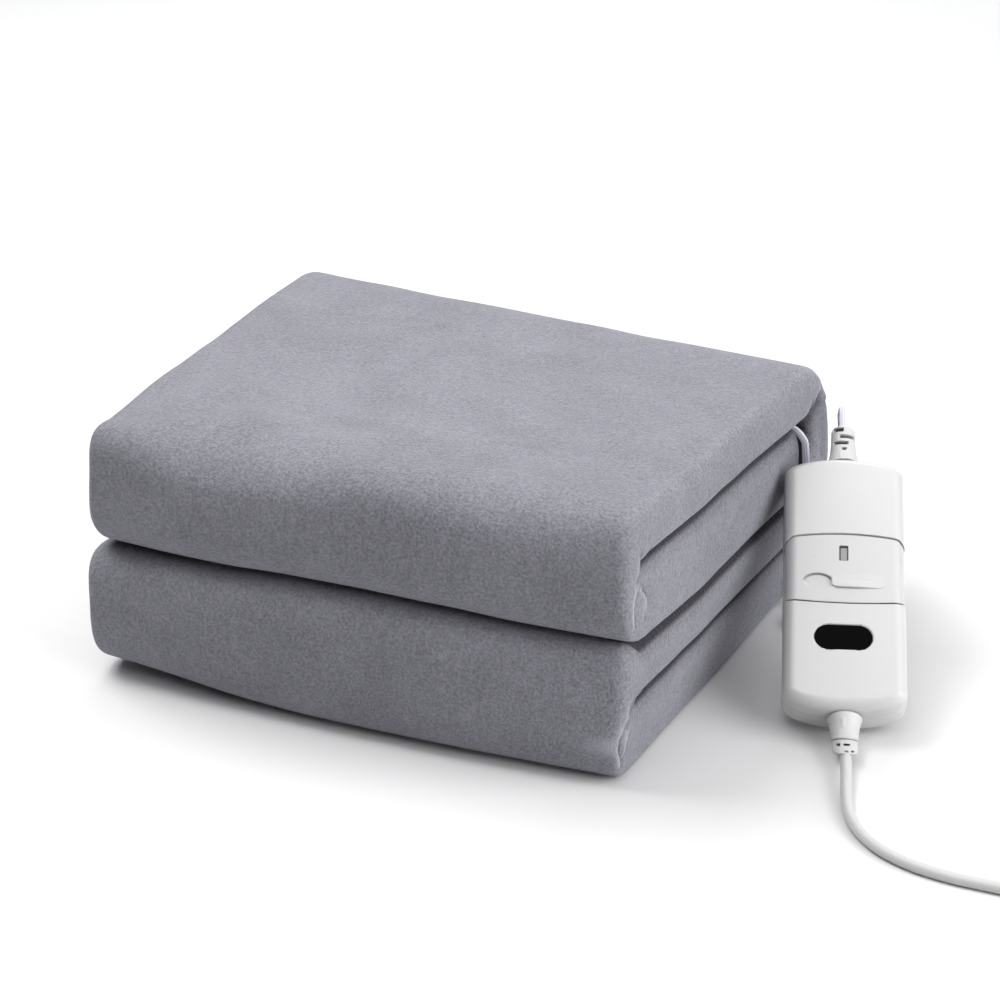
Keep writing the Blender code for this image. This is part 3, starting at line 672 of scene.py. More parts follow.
# ------------------------------------------------------------------------------ the folded throw
@dataclass
class FoldedThrow:
    """One plush sheet folded in four across its width and then like a gate along its length.

    Each lean of the upper front is its middle across the stack, its spread and its millimetres. Each
    ridge is its line of y and z on the right side, its height and its width in millimetres. The rim
    is the lower edge of the back wrap there, as y and z. The lifts are millimetres at the levels of
    the section, for the left, the middle and the right of the front. Each wave of the hand-folded
    unevenness is its length and its size in millimetres. Each mouth, of the top slit and the low one,
    is the depth along y where it opens and its millimetres.
    """

    width: float = 0.370
    depth: float = 0.350
    depth_left: float = 0.392
    depth_right: float = 0.347
    flare_left: float = 0.012
    flare_right: float = 0.024
    front_bow: float = 0.008
    back_sink: float = 0.066
    ply: float = 0.0102
    ply_gap: float = 0.0010
    pack_gap: float = 0.0012
    low_slit: float = 0.0506
    tier_gap: float = 0.0872
    top_slit: float = 0.1465
    height: float = 0.180
    front_fold: float = 0.030
    square_above: float = 3.3
    square_below: float = 4.2
    square_left: float = 3.0
    brow: float = 0.026
    brow_run: float = 0.125
    leans: tuple[Triple, ...] = ((0.26, 0.18, 24.0), (0.80, 0.15, 13.0), (0.5, 0.6, 8.0))
    back_start: float = 0.286
    cavity: float = 0.022
    inner_end: float = 0.2800
    side_fold: float = 0.0125
    sharp_edge: float = 6.5
    round_edge: float = 2.5
    left_fold: float = 0.0100
    hem_inset: float = 0.004
    upper_stray: float = -0.001
    lower_stray: float = 0.005
    ridges: tuple[tuple[tuple[Pair, ...], float, float], ...] = (
        (((0.0165, 0.1530), (0.0155, 0.1466), (0.0125, 0.1375), (0.0102, 0.1310), (0.0085, 0.1250),
          (0.0068, 0.1198), (0.0075, 0.1120), (0.0090, 0.1040)), 1.5, 1.5),
        (((0.0125, 0.1340), (0.0175, 0.1290), (0.0225, 0.1230), (0.0262, 0.1170), (0.0275, 0.1120),
          (0.0262, 0.1080), (0.0200, 0.1020)), 1.0, 1.3),
        (((0.0122, 0.0560), (0.0101, 0.0510), (0.0078, 0.0460), (0.0055, 0.0410), (0.0030, 0.0355),
          (0.0010, 0.0300), (0.0012, 0.0240), (0.0040, 0.0180), (0.0070, 0.0120)), 1.3, 1.4),
        (((0.0060, 0.0380), (0.0088, 0.0330), (0.0100, 0.0270), (0.0095, 0.0215), (0.0070, 0.0165)),
         0.9, 1.2),
    )
    rim: tuple[Pair, ...] = ((0.271, 0.1475), (0.283, 0.1475), (0.2945, 0.1500), (0.306, 0.1545),
                             (0.3175, 0.1590), (0.327, 0.1635), (0.335, 0.1670), (0.350, 0.172))
    lifts: tuple[tuple[float, ...], ...] = (
        (6.5, 6.0, 4.5, 2.4, 0.4, -1.2, -2.6), (0.0, 1.0, 2.0, 3.8, 1.6, 0.4, 0.0),
        (0.0, 2.0, 5.4, 5.8, 3.6, 1.2, 0.0))
    waves: tuple[Pair, ...] = ((0.19, 0.9), (0.12, 0.6), (0.075, 0.32), (0.045, 0.16))
    seed: int = 7
    mouths: tuple[Pair, ...] = ((0.0160, 5.0), (0.0118, 4.0))
    flat_size: Pair = (1.50, 1.33)

    def section(self, lower_power: float, upper_power: float) -> Array:
        """Section of one pack of four plies as a closed outline.

        The first column is the place across the stack and the second the height within the pack from
        0 to 1. Straight plies are runs, and the two side folds are half superellipses.

        Args:
            lower_power: superellipse power of the right fold's half that touches the slit.
            upper_power: power of its other half.

        Returns:
            One row for each point, down one face of the cloth and back up the other.
        """
        step = self.ply + self.ply_gap
        thick = 4 * self.ply + 3 * self.ply_gap
        right, left = self.width - self.side_fold, self.left_fold
        inner_right = right - 1.0 * MM
        half, small, inner_half = thick / 2, self.ply_gap / 2, self.ply + self.ply_gap / 2
        inner_bulge = self.side_fold - self.ply * 0.60

        def run(x_from: float, x_to: float, first: float, second: float, count: int) -> tuple[Array, Array]:
            """Two faces of a straight ply."""
            x = np.linspace(x_from, x_to, count)
            return joined(x, first), joined(x, second)

        def arc(centre: Pair, outer: Pair, inner: Pair, start: float, stop: float, count: int,
                powers: Pair = (2.0, 2.0)) -> tuple[Array, Array]:
            """Two faces of a turning ply.

            Args:
                centre: its centre across the stack and in height.
                outer: half sizes of its outer face.
                inner: half sizes of its inner face.
                start: first angle, in degrees.
                stop: last angle.
                count: number of points.
                powers: superellipse powers below the middle and above.

            Returns:
                The points of either face.
            """
            angle = np.radians(np.linspace(start, stop, count + 2)[1:-1])
            below, above = (np.stack(superellipse(angle, power)) for power in powers)
            cos, sin = np.where(np.sin(angle) < 0, below, above)
            return tuple(joined(centre[0] + radii[0] * cos, centre[1] + radii[1] * sin)
                         for radii in (outer, inner))

        stretches = [
            run(self.hem_inset, right, 0.0, self.ply, 18),
            arc((right, half), (self.side_fold, half), (inner_bulge, half - self.ply), -90, 90, 45,
                (lower_power, upper_power)),
            run(right, left, thick, thick - self.ply, 60),
            arc((left, thick - inner_half), (left, inner_half), (small, small), 90, 270, 15, (3.4, 3.4)),
            run(left, inner_right, thick - step - self.ply, thick - step, 6),
            arc((inner_right, half), (small, small), (inner_bulge - 0.0008, inner_half), 90, -90, 5),
            run(inner_right, self.hem_inset + 0.003, thick - 2 * step, step, 8),
        ]
        first, second = (np.concatenate(face) for face in zip(*stretches))
        return np.concatenate([first, second[::-1]]) / (1.0, thick)

    def stations(self) -> SimpleNamespace:
        """Stations of the gate fold.

        The four packs are straight stretches. The front folds are superellipses about the end of a
        slit, rounder above it than below, and the back wrap is a pair of superellipses about the
        hollow behind the inner packs.

        Returns:
            Columns of one number for each station: inner y and z, outer y and z, how far the pack
            strays to the right and to the left, whether its lower edge lies at the outer line, 1, or
            at the inner, 0, how far the brow draws the outer line back, what takes the outer y and z
            to the squarer shape they have at the left end, and their share of the upper front's lean.
        """
        gap, fold, turns = self.pack_gap / 2, self.front_fold, 46
        rows: list[Array] = []

        def straight(y: Array, inner_z: float, outer_z: float, stray: float, flip: float,
                     brow: float = 0.0) -> None:
            """A pack that lies flat, its outer face drawn back near the front.

            Args:
                y: places along the pack.
                inner_z: height of its inner face.
                outer_z: height of its outer face.
                stray: how far its left end strays.
                flip: 1 for an outer face that is the lower one, else 0.
                brow: how far the outer face is drawn back.
            """
            run = (y - fold) / (self.back_start - fold)
            eased = 1.0 - smooth_step((y - fold) / self.brow_run)
            rows.append(joined(y, inner_z, y, outer_z, 0.002 * run, stray * (1.0 - y / self.depth), flip,
                               brow * eased, 0.0, 0.0, eased * (brow > 0.0)))

        def front(level: float, thick_from: float, thick_to: float, stray: float, brow: float = 0.0) -> None:
            """A front fold from the lower face to the upper.

            Args:
                level: height of the slit that it turns about.
                thick_from: its thickness below the slit.
                thick_to: its thickness above.
                stray: how far its left end strays.
                brow: how far its upper half is drawn back.
            """
            angle = np.radians(crowded_ends(turns, 0.25, -90.0, 90.0)[1:-1])
            below, above = superellipse(angle, self.square_below), superellipse(angle, self.square_above)
            cos, sin = np.where(angle < 0, below, above)
            left_cos, left_sin = superellipse(angle, self.square_left)
            thick = np.linspace(thick_from, thick_to, turns)[1:-1] + gap
            rows.append(joined(fold - gap * np.cos(angle), level + gap * np.sin(angle), fold - fold * cos,
                               level + thick * sin, 0.0, stray, 1.0 - smooth_step(angle / 1.2 + 0.5),
                               brow * smooth_step(angle / (math.pi / 2)) * (1.0 - cos),
                               fold * (cos - left_cos), thick * (left_sin - sin),
                               np.maximum(sin, 0.0) ** 1.8 * (brow > 0.0)))

        inner_run = np.linspace(self.inner_end, fold, 20)
        outer_run = crowded_ends(56, 0.25, fold, self.back_start)
        straight(inner_run, self.top_slit - gap, self.tier_gap + gap, self.upper_stray, 1.0)
        front(self.top_slit, self.top_slit - self.tier_gap - self.pack_gap, self.height - self.top_slit - gap,
              self.upper_stray, self.brow)
        straight(outer_run, self.top_slit + gap, self.height, self.upper_stray, 0.0, self.brow)
        low, high = self.low_slit - gap, self.top_slit + gap
        angle = np.radians(np.linspace(90, -90, 40)[1:-1])
        cos, sin = superellipse(angle, 2.2)
        wide_cos, wide_sin = superellipse(angle, 2.6)
        rows.append(joined(self.back_start + self.cavity * cos, (low + high) / 2 + (high - low) / 2 * sin,
                           self.back_start + (self.depth - self.back_start) * wide_cos,
                           self.height / 2 + self.height / 2 * wide_sin, 0.002, 0.0,
                           smooth_step(0.5 - angle / 2.4), 0.0, 0.0, 0.0, 0.0))
        straight(outer_run[::-1], low, 0.0, self.lower_stray, 1.0)
        front(self.low_slit, self.low_slit - gap, self.tier_gap - self.low_slit - self.pack_gap,
              self.lower_stray)
        straight(inner_run[::-1], self.low_slit + gap, self.tier_gap - gap, self.lower_stray, 0.0)
        names = ("inner_y", "inner_z", "outer_y", "outer_z", "stray_right", "stray_left", "flip", "brow",
                 "square_y", "square_z", "lean")
        return SimpleNamespace(**dict(zip(names, np.concatenate(rows).T[:, :, None])))

    def settle(self, points: Array) -> Array:
        """Skew the plan to unlike depths, bow the front out, flare the back and let it sink.

        Args:
            points: the throw's points.

        Returns:
            The moved points.
        """
        x, y, z = np.moveaxis(points, -1, 0)
        across, along = np.clip(x / self.width, -0.1, 1.1), y / self.depth
        depth = self.depth_left + (self.depth_right - self.depth_left) * across
        bow = self.front_bow * np.sin(math.pi * np.clip(across, 0, 1)) * np.clip(1 - 3 * along, 0, 1)
        return joined(x + self.flare_right * across * along - self.flare_left * (1 - across) * along,
                      along * depth - bow, z * (1 - self.back_sink * np.clip(along, 0.0, 1.0)))

    def creased(self, points: Array) -> tuple[Array, Array]:
        """Sewn-flat look of the stack's right side: ridges where the front folds end, hollows beside them.

        Every crease is a line in the side plane given as pairs of y and z. A point's offset across it
        is y less the line's own y at the point's height, faded out beyond the line's ends. A ridge
        stands out by its height times the bell of the offset over its width, and a hollow sinks in by
        the same rule. Then come the open mouths of the slits, the lips along them, and the streaked
        hollow under the rim of the back wrap. All act along x alone and fade away from the side face. With
        the moves goes a painted shade: painted highlight on the ridges and along the rim's edge, painted
        shade in the hollows beside the ridges, in the slits' mouths and in the streaked hollow under the rim.

        Args:
            points: the throw's points before it settles.

        Returns:
            The moved points, and a painted shade from -1 in a hollow to 1 for a painted highlight on a ridge.
        """
        x, y, z = np.moveaxis(points, -1, 0)
        push, shade = np.zeros_like(x), np.zeros_like(x)

        def between(low: float, high: float, ease: float) -> Array:
            """1 between two heights, eased to 0 beyond them."""
            return smooth_step((z - low) / ease + 0.5) * smooth_step((high - z) / ease + 0.5)

        for line, height, width in self.ridges:
            knots = np.array(line)[::-1]
            offset = y - np.interp(z, knots[:, 1], knots[:, 0])
            within = between(knots[0, 1], knots[-1, 1], 0.004)
            push += height * MM * within * (bell(offset, width * MM)
                                            - bell(offset - 2.1 * width * MM, 1.1 * width * MM))
            # painted highlight along the ridge and painted shade in the hollow beside it
            shade += within * min(1.0, height) * (1.2 * bell(offset, 0.8 * width * MM)
                                                  - 0.9 * bell(offset - 1.9 * width * MM, 0.9 * width * MM))
        for level, (start, deep) in zip((self.top_slit, self.low_slit), self.mouths):
            opened = smooth_step((y - start) / 0.003 + 0.5)
            below = level - z
            mouth = bell(below - 1.5 * MM, 2.2 * MM) * opened * smooth_step((0.040 - y) / 0.012)
            corner = (bell(np.maximum(below, 0.0), 7.0 * MM) * bell(y - start - 0.006, 0.008)
                      * opened * (below > -0.001))
            push -= (deep * mouth + 1.6 * corner) * MM
            # painted shade in the slit's mouth and its corner
            shade -= 0.9 * mouth + 0.45 * corner
        wave = 1.0 + 0.45 * np.sin(2 * math.pi * y / 0.083 + 40.0 * np.round(z, 1))
        for level, weight in ((self.top_slit, 1.0), (self.tier_gap, 0.8), (self.low_slit, 0.9)):
            above = z - level
            along = smooth_step((y - 0.014) / 0.012) * weight * MM
            push += 1.0 * bell(above - 1.6 * MM, 2.6 * MM) * along * (above > 0)
            push -= 2.4 * wave * bell(np.maximum(-above, 0.0), 4.2 * MM) * along * (above < 0)
        behind = smooth_step((y - 0.281) / 0.008)
        rim = np.interp(y, *zip(*self.rim))
        under = rim - z
        sunk_in = smooth_step(under / 0.004 + 0.3) * behind * smooth_step((0.334 - y) / 0.038)
        angle = np.arctan2(under + 0.004, y - 0.282)
        streaks = np.sin(11.0 * angle + 0.8) + 0.6 * np.sin(23.0 * angle + 2.0)
        fading = 0.30 + 0.70 * np.exp(-np.maximum(under, 0.0) / 0.022)
        edge = bell(z - rim - 0.0010, 0.0013) * behind * smooth_step((0.338 - y) / 0.006)
        push -= ((5.0 + 0.9 * streaks) * MM * sunk_in * fading * smooth_step((z - 0.02) / 0.05)
                 - 0.6 * MM * edge)
        # painted shade streaked under the rim, and painted highlight along the rim's edge
        shade += (0.30 * streaks - 0.16) * sunk_in * fading + 0.8 * edge
        # painted shade in the dark hollow behind the lead and in a band under the rim
        shade -= 1.10 * bell(np.hypot(y - 0.294, 0.7 * (under - 0.010)), 0.016) * smooth_step(under / 0.002)
        shade -= 1.20 * bell(under - 0.004, 0.0130) * smooth_step(under / 0.0015) * behind * smooth_step(
            (0.336 - y) / 0.034)
        fade = bell(x - self.width + 0.004, 0.013)
        return joined(x + push * fade, y, z), shade * fade

    def slumped(self, points: Array) -> Array:
        """Sag of the front and right edges: smooth shifts that leave the top and the floor where they are.

        Near the front the layers between floor and top ride up by a curve over the height, the right
        side of the lower tier is tucked in towards the floor, and the top back right corner is dropped.

        Args:
            points: the throw's points.

        Returns:
            The moved points.
        """
        x, y, z = np.moveaxis(points, -1, 0)
        across, ahead = np.clip(x / self.width, 0.0, 1.0), np.maximum(y, 0.0)
        levels = [0.0, 0.02, self.low_slit, self.tier_gap, self.top_slit, 0.168, self.height]
        left, middle, right = (np.interp(z, levels, rises) for rises in self.lifts)
        share = smooth_step((across - 0.03) / 0.40)
        lift = left * (1.0 - share) + right * share + middle * bell(across - 0.45, 0.30)
        tuck = smooth_step(1.0 - z / self.tier_gap) * across ** 3
        corner = (smooth_step((y - 0.295) / 0.050) * smooth_step((across - 0.93) / 0.07)
                  * smooth_step((z - 0.10) / 0.07))
        sideways = np.interp(z, [self.tier_gap, 0.095, 0.115, 0.135, 0.155, self.height],
                             [0.0, -2.5, -2.0, 0.0, 2.0, 2.6])
        left_end = (1.0 - smooth_step(across / 0.14)) * bell(ahead, 0.070)
        return joined(x + (sideways * left_end - 6.5 * tuck) * MM, y - 1.2 * MM * corner,
                      z + (lift * bell(ahead, 0.100) - corner) * MM)

    def hand_folded(self, points: Array) -> Array:
        """Unevenness of a stack folded by hand: a smooth warp of space, so plies never cross.

        It is a sum of long slow sine waves, each along its own direction and pushing along another,
        strongest away from the floor.

        Args:
            points: the throw's points.

        Returns:
            The moved points.
        """
        lift = smooth_step(points[..., 2] / 0.03)
        rng = np.random.default_rng(self.seed)
        moved = points.copy()
        for length, size in self.waves:
            for _ in range(4):
                direction = rng.normal(size=3)
                direction /= np.linalg.norm(direction)
                push = rng.normal(size=3)
                push /= np.linalg.norm(push)
                wave = np.sin(2 * math.pi / length * (points @ direction) + rng.uniform(0, 6.28))
                moved += (size * MM * 0.7) * (wave * lift)[..., None] * push
        return moved

    def points(self) -> tuple[Array, dict[str, Array]]:
        """Grid of points of the whole throw, one row for each station.

        Each point lies between the station's inner and outer lines by its rise in the pack's section.

        Returns:
            The points in the frame, and what the plush reads for each: how deep it lies in a fold from
            0 to 1, for painted shade there, its painted crease shade and highlight, and its millimetres below
            and above the slits of the right side, for painted shade under the slits and painted highlight on
            their lips.
        """
        path = self.stations()
        slit_sharp, slit_round = (self.section(*powers)[None] for powers in (
            (self.sharp_edge, self.round_edge), (self.round_edge, self.sharp_edge)))
        outline_x = slit_sharp[..., 0] * (1 - path.flip) + slit_round[..., 0] * path.flip
        rise = slit_sharp[..., 1] * (1 - path.flip) + slit_round[..., 1] * path.flip
        across = outline_x / self.width
        squared = rise * smooth_step(1.0 - across / 0.30)
        lean = sum(size * MM * bell(across - middle, spread) for middle, spread, size in self.leans)
        x = outline_x + path.stray_right * across ** 4 - path.stray_left * (1.0 - across) ** 4
        y = (path.inner_y + (path.outer_y - path.inner_y) * rise
             + path.brow * rise * smooth_step(across / 0.26)
             + path.lean * rise * lean * smooth_step(across / 0.22) + path.square_y * squared)
        thick = path.outer_z - path.inner_z
        z = path.inner_z + thick * rise + path.square_z * squared
        inward = smooth_step((np.minimum(self.width - x, x - 0.0075) - 1.4 * MM) / (3.0 * MM))
        inside = np.arange(x.shape[1]) >= x.shape[1] // 2
        # painted shade inside the folds, on the inner faces and along the tier gap, away from the cut edges
        fold_shade = inward * np.maximum(smooth_step((0.10 - rise) / 0.10),
                                      np.maximum(inside, bell(z - self.tier_gap, 2.6 * MM) * smooth_step(
                                          (y - 0.020) / 0.010)))
        from_top = np.abs(thick) * (path.flip * rise + (1.0 - path.flip) * (1.0 - rise))
        side = (smooth_step((x - self.width + 0.030) / 0.012) * smooth_step((y - 0.0145) / 0.008)
                * smooth_step((0.290 - y) / 0.012))
        moved, shade = self.creased(joined(x, y, z))
        # numbers that the plush reads for painted shade and painted highlight
        marks = {"fold_shade": np.clip(fold_shade, 0, 1), "crease": np.clip(shade, -1, 1),
                 "below_slit": from_top / MM + 20.0 * (1.0 - side * (z < self.top_slit)),
                 "above_slit": (np.abs(thick) - from_top) / MM + 14.0 * (1.0 - side * (z > self.low_slit))}
        return self.hand_folded(self.settle(self.slumped(moved))) - FOOTPRINT_MIDDLE, marks

    def build(self, palette: Palette) -> None:
        """Args:
            palette: the finishes.
        """
        grid, marks = self.points()
        stations, count = grid.shape[:2]
        first = np.arange(count // 2 - 1)
        second = count - 1 - first
        cap = joined(first, first + 1, second - 1, second)
        faces = [grid_quads(stations, count, True), cap[:, ::-1], cap + (stations - 1) * count]
        throw = make_piece("folded_throw", grid.reshape(-1, 3), faces, palette.plush, 75.0)
        for name, values in marks.items():
            mark(throw, name, values)
        dress(throw, "plush", "blanket")


# ------------------------------------------------------------------------------ the hand controller
@dataclass
class CasePlace:
    """Where the controller lies: it leans back by one angle and is turned by another."""

    foot: Triple = (0.4733, 0.1200, 0.0032)
    lean: float = 31.0
    yaw: float = 18.0

    def to_frame(self, points: Array) -> Array:
        """Take points of the case into the frame."""
        turned = rotation(2, math.radians(self.yaw)) @ rotation(0, math.radians(self.lean))
        return points @ turned.T + np.array(self.foot) - FOOTPRINT_MIDDLE


@dataclass
class CasePlan:
    """Outline of the case: straight sides and half-ellipse ends."""

    width: float = 0.078
    length: float = 0.1914
    rise: float = 0.0134

    def end_fall(self, x: Array) -> Array:
        """How far the end's outline falls back from its middle, by the ellipse's equation."""
        share = np.clip(np.abs(x) / (self.width / 2), 0.0, 1.0)
        return self.rise * (1.0 - np.sqrt(1.0 - share ** 2))

    def inset(self, x: Array, y: Array) -> Array:
        """Distance from the outline, exact on the sides and to first order at the ends.

        Args:
            x: places across the case.
            y: places along it.

        Returns:
            The distance inwards of each point, 0 outside.
        """
        half = self.width / 2
        over = np.maximum(np.maximum(y - (self.length - self.rise), self.rise - y), 0.0)
        q = np.sqrt((x / half) ** 2 + (over / self.rise) ** 2) + 1e-9
        slope = np.sqrt((x / half ** 2) ** 2 + (over / self.rise ** 2) ** 2) / q + 1e-9
        return np.maximum(np.where(over > 0, (1.0 - q) / slope, half - np.abs(x)), 0.0)


@dataclass(frozen=True)
class Mouth:
    """Something let into the case's face: its middle and its half sizes."""

    x: float
    y: float
    half_x: float
    half_y: float

    def stadium(self, x: Array, y: Array) -> Array:
        """Signed distance to a slot with round ends, negative inside."""
        along = np.maximum(np.abs(x - self.x) - (self.half_x - self.half_y), 0.0)
        return np.hypot(along, y - self.y) - self.half_y

    def box(self, x: Array, y: Array, radius: float) -> Array:
        """Signed distance to a rectangle with rounded corners, negative inside."""
        dx, dy = np.abs(x - self.x) - self.half_x + radius, np.abs(y - self.y) - self.half_y + radius
        return np.hypot(np.maximum(dx, 0), np.maximum(dy, 0)) + np.minimum(np.maximum(dx, dy), 0.0) - radius

    def reach(self, x: Array, y: Array) -> Array:
        """Distance from the middle as a share of the ellipse of these half sizes."""
        return np.sqrt(((x - self.x) / self.half_x) ** 2 + ((y - self.y) / self.half_y) ** 2)


def sunk(distance: Array, depth: float, wall: float) -> Array:
    """Drop of a pocket's floor below the surface, with a steep eased wall."""
    return -depth * smooth_step(0.5 - distance / wall)


@dataclass
class Shell:
    """One moulded cover: a height over the plan between two lines, with walls down to its seat."""

    name: str
    low: Line
    high: Line
    front: float
    seat: float
    rim: float = 0.0080
    inset: float = 0.0
    columns: int = 150
    rows: int = 90
    seam_low: bool = False
    seam_high: bool = False
    seam_round: float = 0.45 * MM
    relief: Relief | None = None
    # painted shade for the cover's face, 0 to 1
    hollows: Relief | None = None
    upside_down: bool = False

    def surface(self, plan: CasePlan) -> Array:
        """Grid of the cover's face.

        Columns run along the case at x = half width times a crowded parameter, from the lower line to
        the upper. The height is the front less a quarter circle at the rim, R minus the root of
        R squared less (R - d) squared for a distance d from the outline, less a small round at a
        seam, plus the relief.

        Args:
            plan: outline of the case.

        Returns:
            Points (rows, columns, 3) in the case's own axes.
        """
        x = (plan.width / 2 - self.inset) * crowded_ends(self.columns, 0.86, -1.0, 1.0)
        low, high = self.low(x), self.high(x)
        y = low + (high - low) * crowded_ends(self.rows, 0.80)[:, None]
        x = np.broadcast_to(x, y.shape)

        def rounded(distance: Array, radius: float) -> Array:
            """Fall of a quarter circle at a distance from the edge."""
            left = radius - np.minimum(distance, radius)
            return radius - np.sqrt(np.maximum(radius ** 2 - left ** 2, 0.0))

        z = self.front - rounded(np.maximum(plan.inset(x, y) - self.inset, 0.0), self.rim)
        for seam, line in ((self.seam_low, low), (self.seam_high, high)):
            if seam:
                z = z - rounded(np.abs(y - line), self.seam_round)
        return joined(x, y, z if self.relief is None else z + self.relief(x, y))

    def build(self, plan: CasePlan, place: CasePlace, material: Material) -> Piece:
        """Make the closed cover: its face, walls from the face's edge in three steps, and a flat seat.

        Args:
            plan: outline of the case.
            place: where the case lies.
            material: the cover's finish.

        Returns:
            The new object.
        """
        grid = self.surface(plan)
        rows, columns = grid.shape[:2]
        numbers = np.arange(rows * columns).reshape(rows, columns)
        ring = np.concatenate([numbers[0, :-1], numbers[:-1, -1], numbers[-1, :0:-1], numbers[:0:-1, 0]])
        flat, count = grid.reshape(-1, 3), len(ring)
        edge = flat[ring]
        middle = np.array([0.0, edge[:, 1].mean()])
        pull = edge[:, :2] - middle
        pull = pull / np.maximum(np.linalg.norm(pull, axis=1, keepdims=True), 1e-6)
        levels = ((0.55, 0.0), (0.97, 0.0), (1.0, 0.25 * MM))
        walls = [np.concatenate([edge[:, :2] - pull * inward,
                                 edge[:, 2:] + (self.seat - edge[:, 2:]) * share], axis=1)
                 for share, inward in levels]
        points = np.concatenate([flat, *walls, [[*middle, self.seat]]])
        if self.upside_down:
            points[:, 2] = self.front + self.seat - points[:, 2]
        loops = [ring] + [np.arange(count) + len(flat) + count * step for step in range(len(levels))]
        faces = [grid_quads(rows, columns, False), fan(loops[-1][::-1], len(points) - 1)]
        faces[1:1] = [joined(upper, lower, np.roll(lower, -1), np.roll(upper, -1))
                      for upper, lower in zip(loops, loops[1:])]
        piece = make_piece(self.name, place.to_frame(points), faces, material, 32.0)
        if self.hollows is not None:
            # painted shade kept on the face's points for the finish
            shade = self.hollows(flat[:, 0], flat[:, 1])
            mark(piece, "hollow", np.append(shade, np.zeros(len(points) - len(flat))))
        return piece


class End(Enum):
    """Which end of the controller."""

    UPPER = "upper"
    LOWER = "lower"


@dataclass
class HandController:
    """White hand controller: rear shell, three front covers, display, level flag, slider and two boots.

    Each seam is the height of its sides, its arch and the hook of its ends. Each ring of the slider is
    its inset in millimetres and its share of the slider's height. The boots' profile is shares of
    their length and radii in millimetres, and each of their cuts is its middle along and across the
    boot and its half sizes, in millimetres. So are the groove, the collar and the cuts' depth.
    """

    plan: CasePlan = field(default_factory=CasePlan)
    place: CasePlace = field(default_factory=CasePlace)
    depth: float = 0.030
    parting: float = 0.0140
    seam: float = 0.0003
    panel_step: float = 0.0006
    back_rim: float = 0.0035
    cap_seam: Triple = (0.1257, 0.0040, -0.0022)
    foot_seam: Triple = (0.0778, -0.0016, 0.0012)
    display: Mouth = Mouth(-0.0014, 0.0511, 0.0186, 0.0092)
    flag: Mouth = Mouth(-0.0011, 0.1146, 0.0027, 0.00565)
    track: Mouth = Mouth(0.0079, 0.0935, 0.0155, 0.0043)
    scoop: Mouth = Mouth(-0.0176, 0.0928, 0.0093, 0.0060)
    lip: Mouth = Mouth(0.0357, 0.1160, 0.00035, 0.0090)
    dot: Pair = (-0.0189, 0.1122)
    wells: tuple[Pair, ...] = ((-0.027, 0.022), (-0.027, 0.168), (0.027, 0.022), (0.027, 0.168))
    well_radius: float = 0.0029
    slider: Mouth = Mouth(0.0081, 0.0935, 0.0169, 0.0051)
    slider_rings: tuple[Pair, ...] = (
        (0.15, 0.0), (0.0, 0.12), (0.0, 0.62), (0.12, 0.84), (0.35, 0.95), (0.7, 1.0), (1.5, 1.0),
        (2.5, 1.0), (3.6, 1.0), (4.6, 1.0))
    boot_length: float = 0.030
    boot_groove: float = 17.2
    boot_collar: float = 15.6
    cut_depth: float = 3.0
    boot_profile: tuple[tuple[float, ...], ...] = ((0.0, 0.10, 0.22, 0.36, 0.50, 0.62, 0.93, 0.975, 1.0),
                                                   (11.2, 10.4, 9.5, 8.85, 8.45, 8.2, 8.0, 7.4, 6.4))
    upper_cuts: tuple[tuple[float, ...], ...] = ((25.8, -3.6, 1.5, 3.3), (20.2, 2.2, 1.35, 5.2),
                                                 (14.8, -2.0, 1.35, 4.8), (9.6, 0.0, 1.1, 1.4))
    lower_cuts: tuple[tuple[float, ...], ...] = ((21.6, -4.9, 1.0, 1.1), (21.5, 0.4, 0.7, 1.9),
                                                 (27.4, 0.0, 0.8, 1.1), (27.2, 4.3, 0.8, 0.7))

    def seam_line(self, seam: Triple, lift: float = 0.0) -> Line:
        """Parabola across the case whose last tenth turns up or down into a hook.

        It is the side height, plus the arch times 1 - (x / half width) squared, plus the hook eased in
        near the ends.

        Args:
            seam: side height, arch and hook.
            lift: how far the line is moved up.

        Returns:
            A function that gives the line's height at x.
        """
        def line(x: Array) -> Array:
            """Height of the seam.

            Args:
                x: places across the case.

            Returns:
                The height at each place.
            """
            share = np.abs(x) / (self.plan.width / 2)
            hook = smooth_step((share - 0.88) / 0.12)
            return seam[0] + lift + seam[1] * (1.0 - share ** 2) + seam[2] * hook
        return line

    def panel_relief(self, x: Array, y: Array) -> Array:
        """Relief of the middle panel: pockets and grooves sunk in it, and a small dot on it.

        The thumb scoop is an ellipse sunk deep along its upper edge and running out at its lower one.

        Args:
            x: places across the case.
            y: places along it.

        Returns:
            Height added to the panel.
        """
        scoop = self.scoop
        slope = np.clip(0.12 + 0.88 * (y - scoop.y + scoop.half_y) / (2 * scoop.half_y), 0.0, 1.0)
        dished = smooth_step((1.0 - scoop.reach(x, y)) * scoop.half_y / (0.7 * MM)) * slope
        z = sunk(self.flag.box(x, y, 0.4 * MM), 1.4 * MM, 0.25 * MM)
        z = np.minimum(z, sunk(self.track.stadium(x, y), 0.8 * MM, 0.5 * MM))
        z = np.minimum(z, -1.5 * MM * dished)
        away = np.hypot(x - self.dot[0], y - self.dot[1])
        z = z + 0.22 * MM * bell(away - 1.1 * MM, 0.35 * MM)
        under = self.seam_line(self.cap_seam)(x) - y
        above = y - self.seam_line(self.foot_seam)(x)
        z = z - 0.9 * MM * smooth_step(1.15 - under / (0.9 * MM))
        z = z - 0.7 * MM * smooth_step(1.2 - above / (0.55 * MM))
        return z + sunk(self.lip.box(x, y, 0.0003), 0.5 * MM, 0.4 * MM)

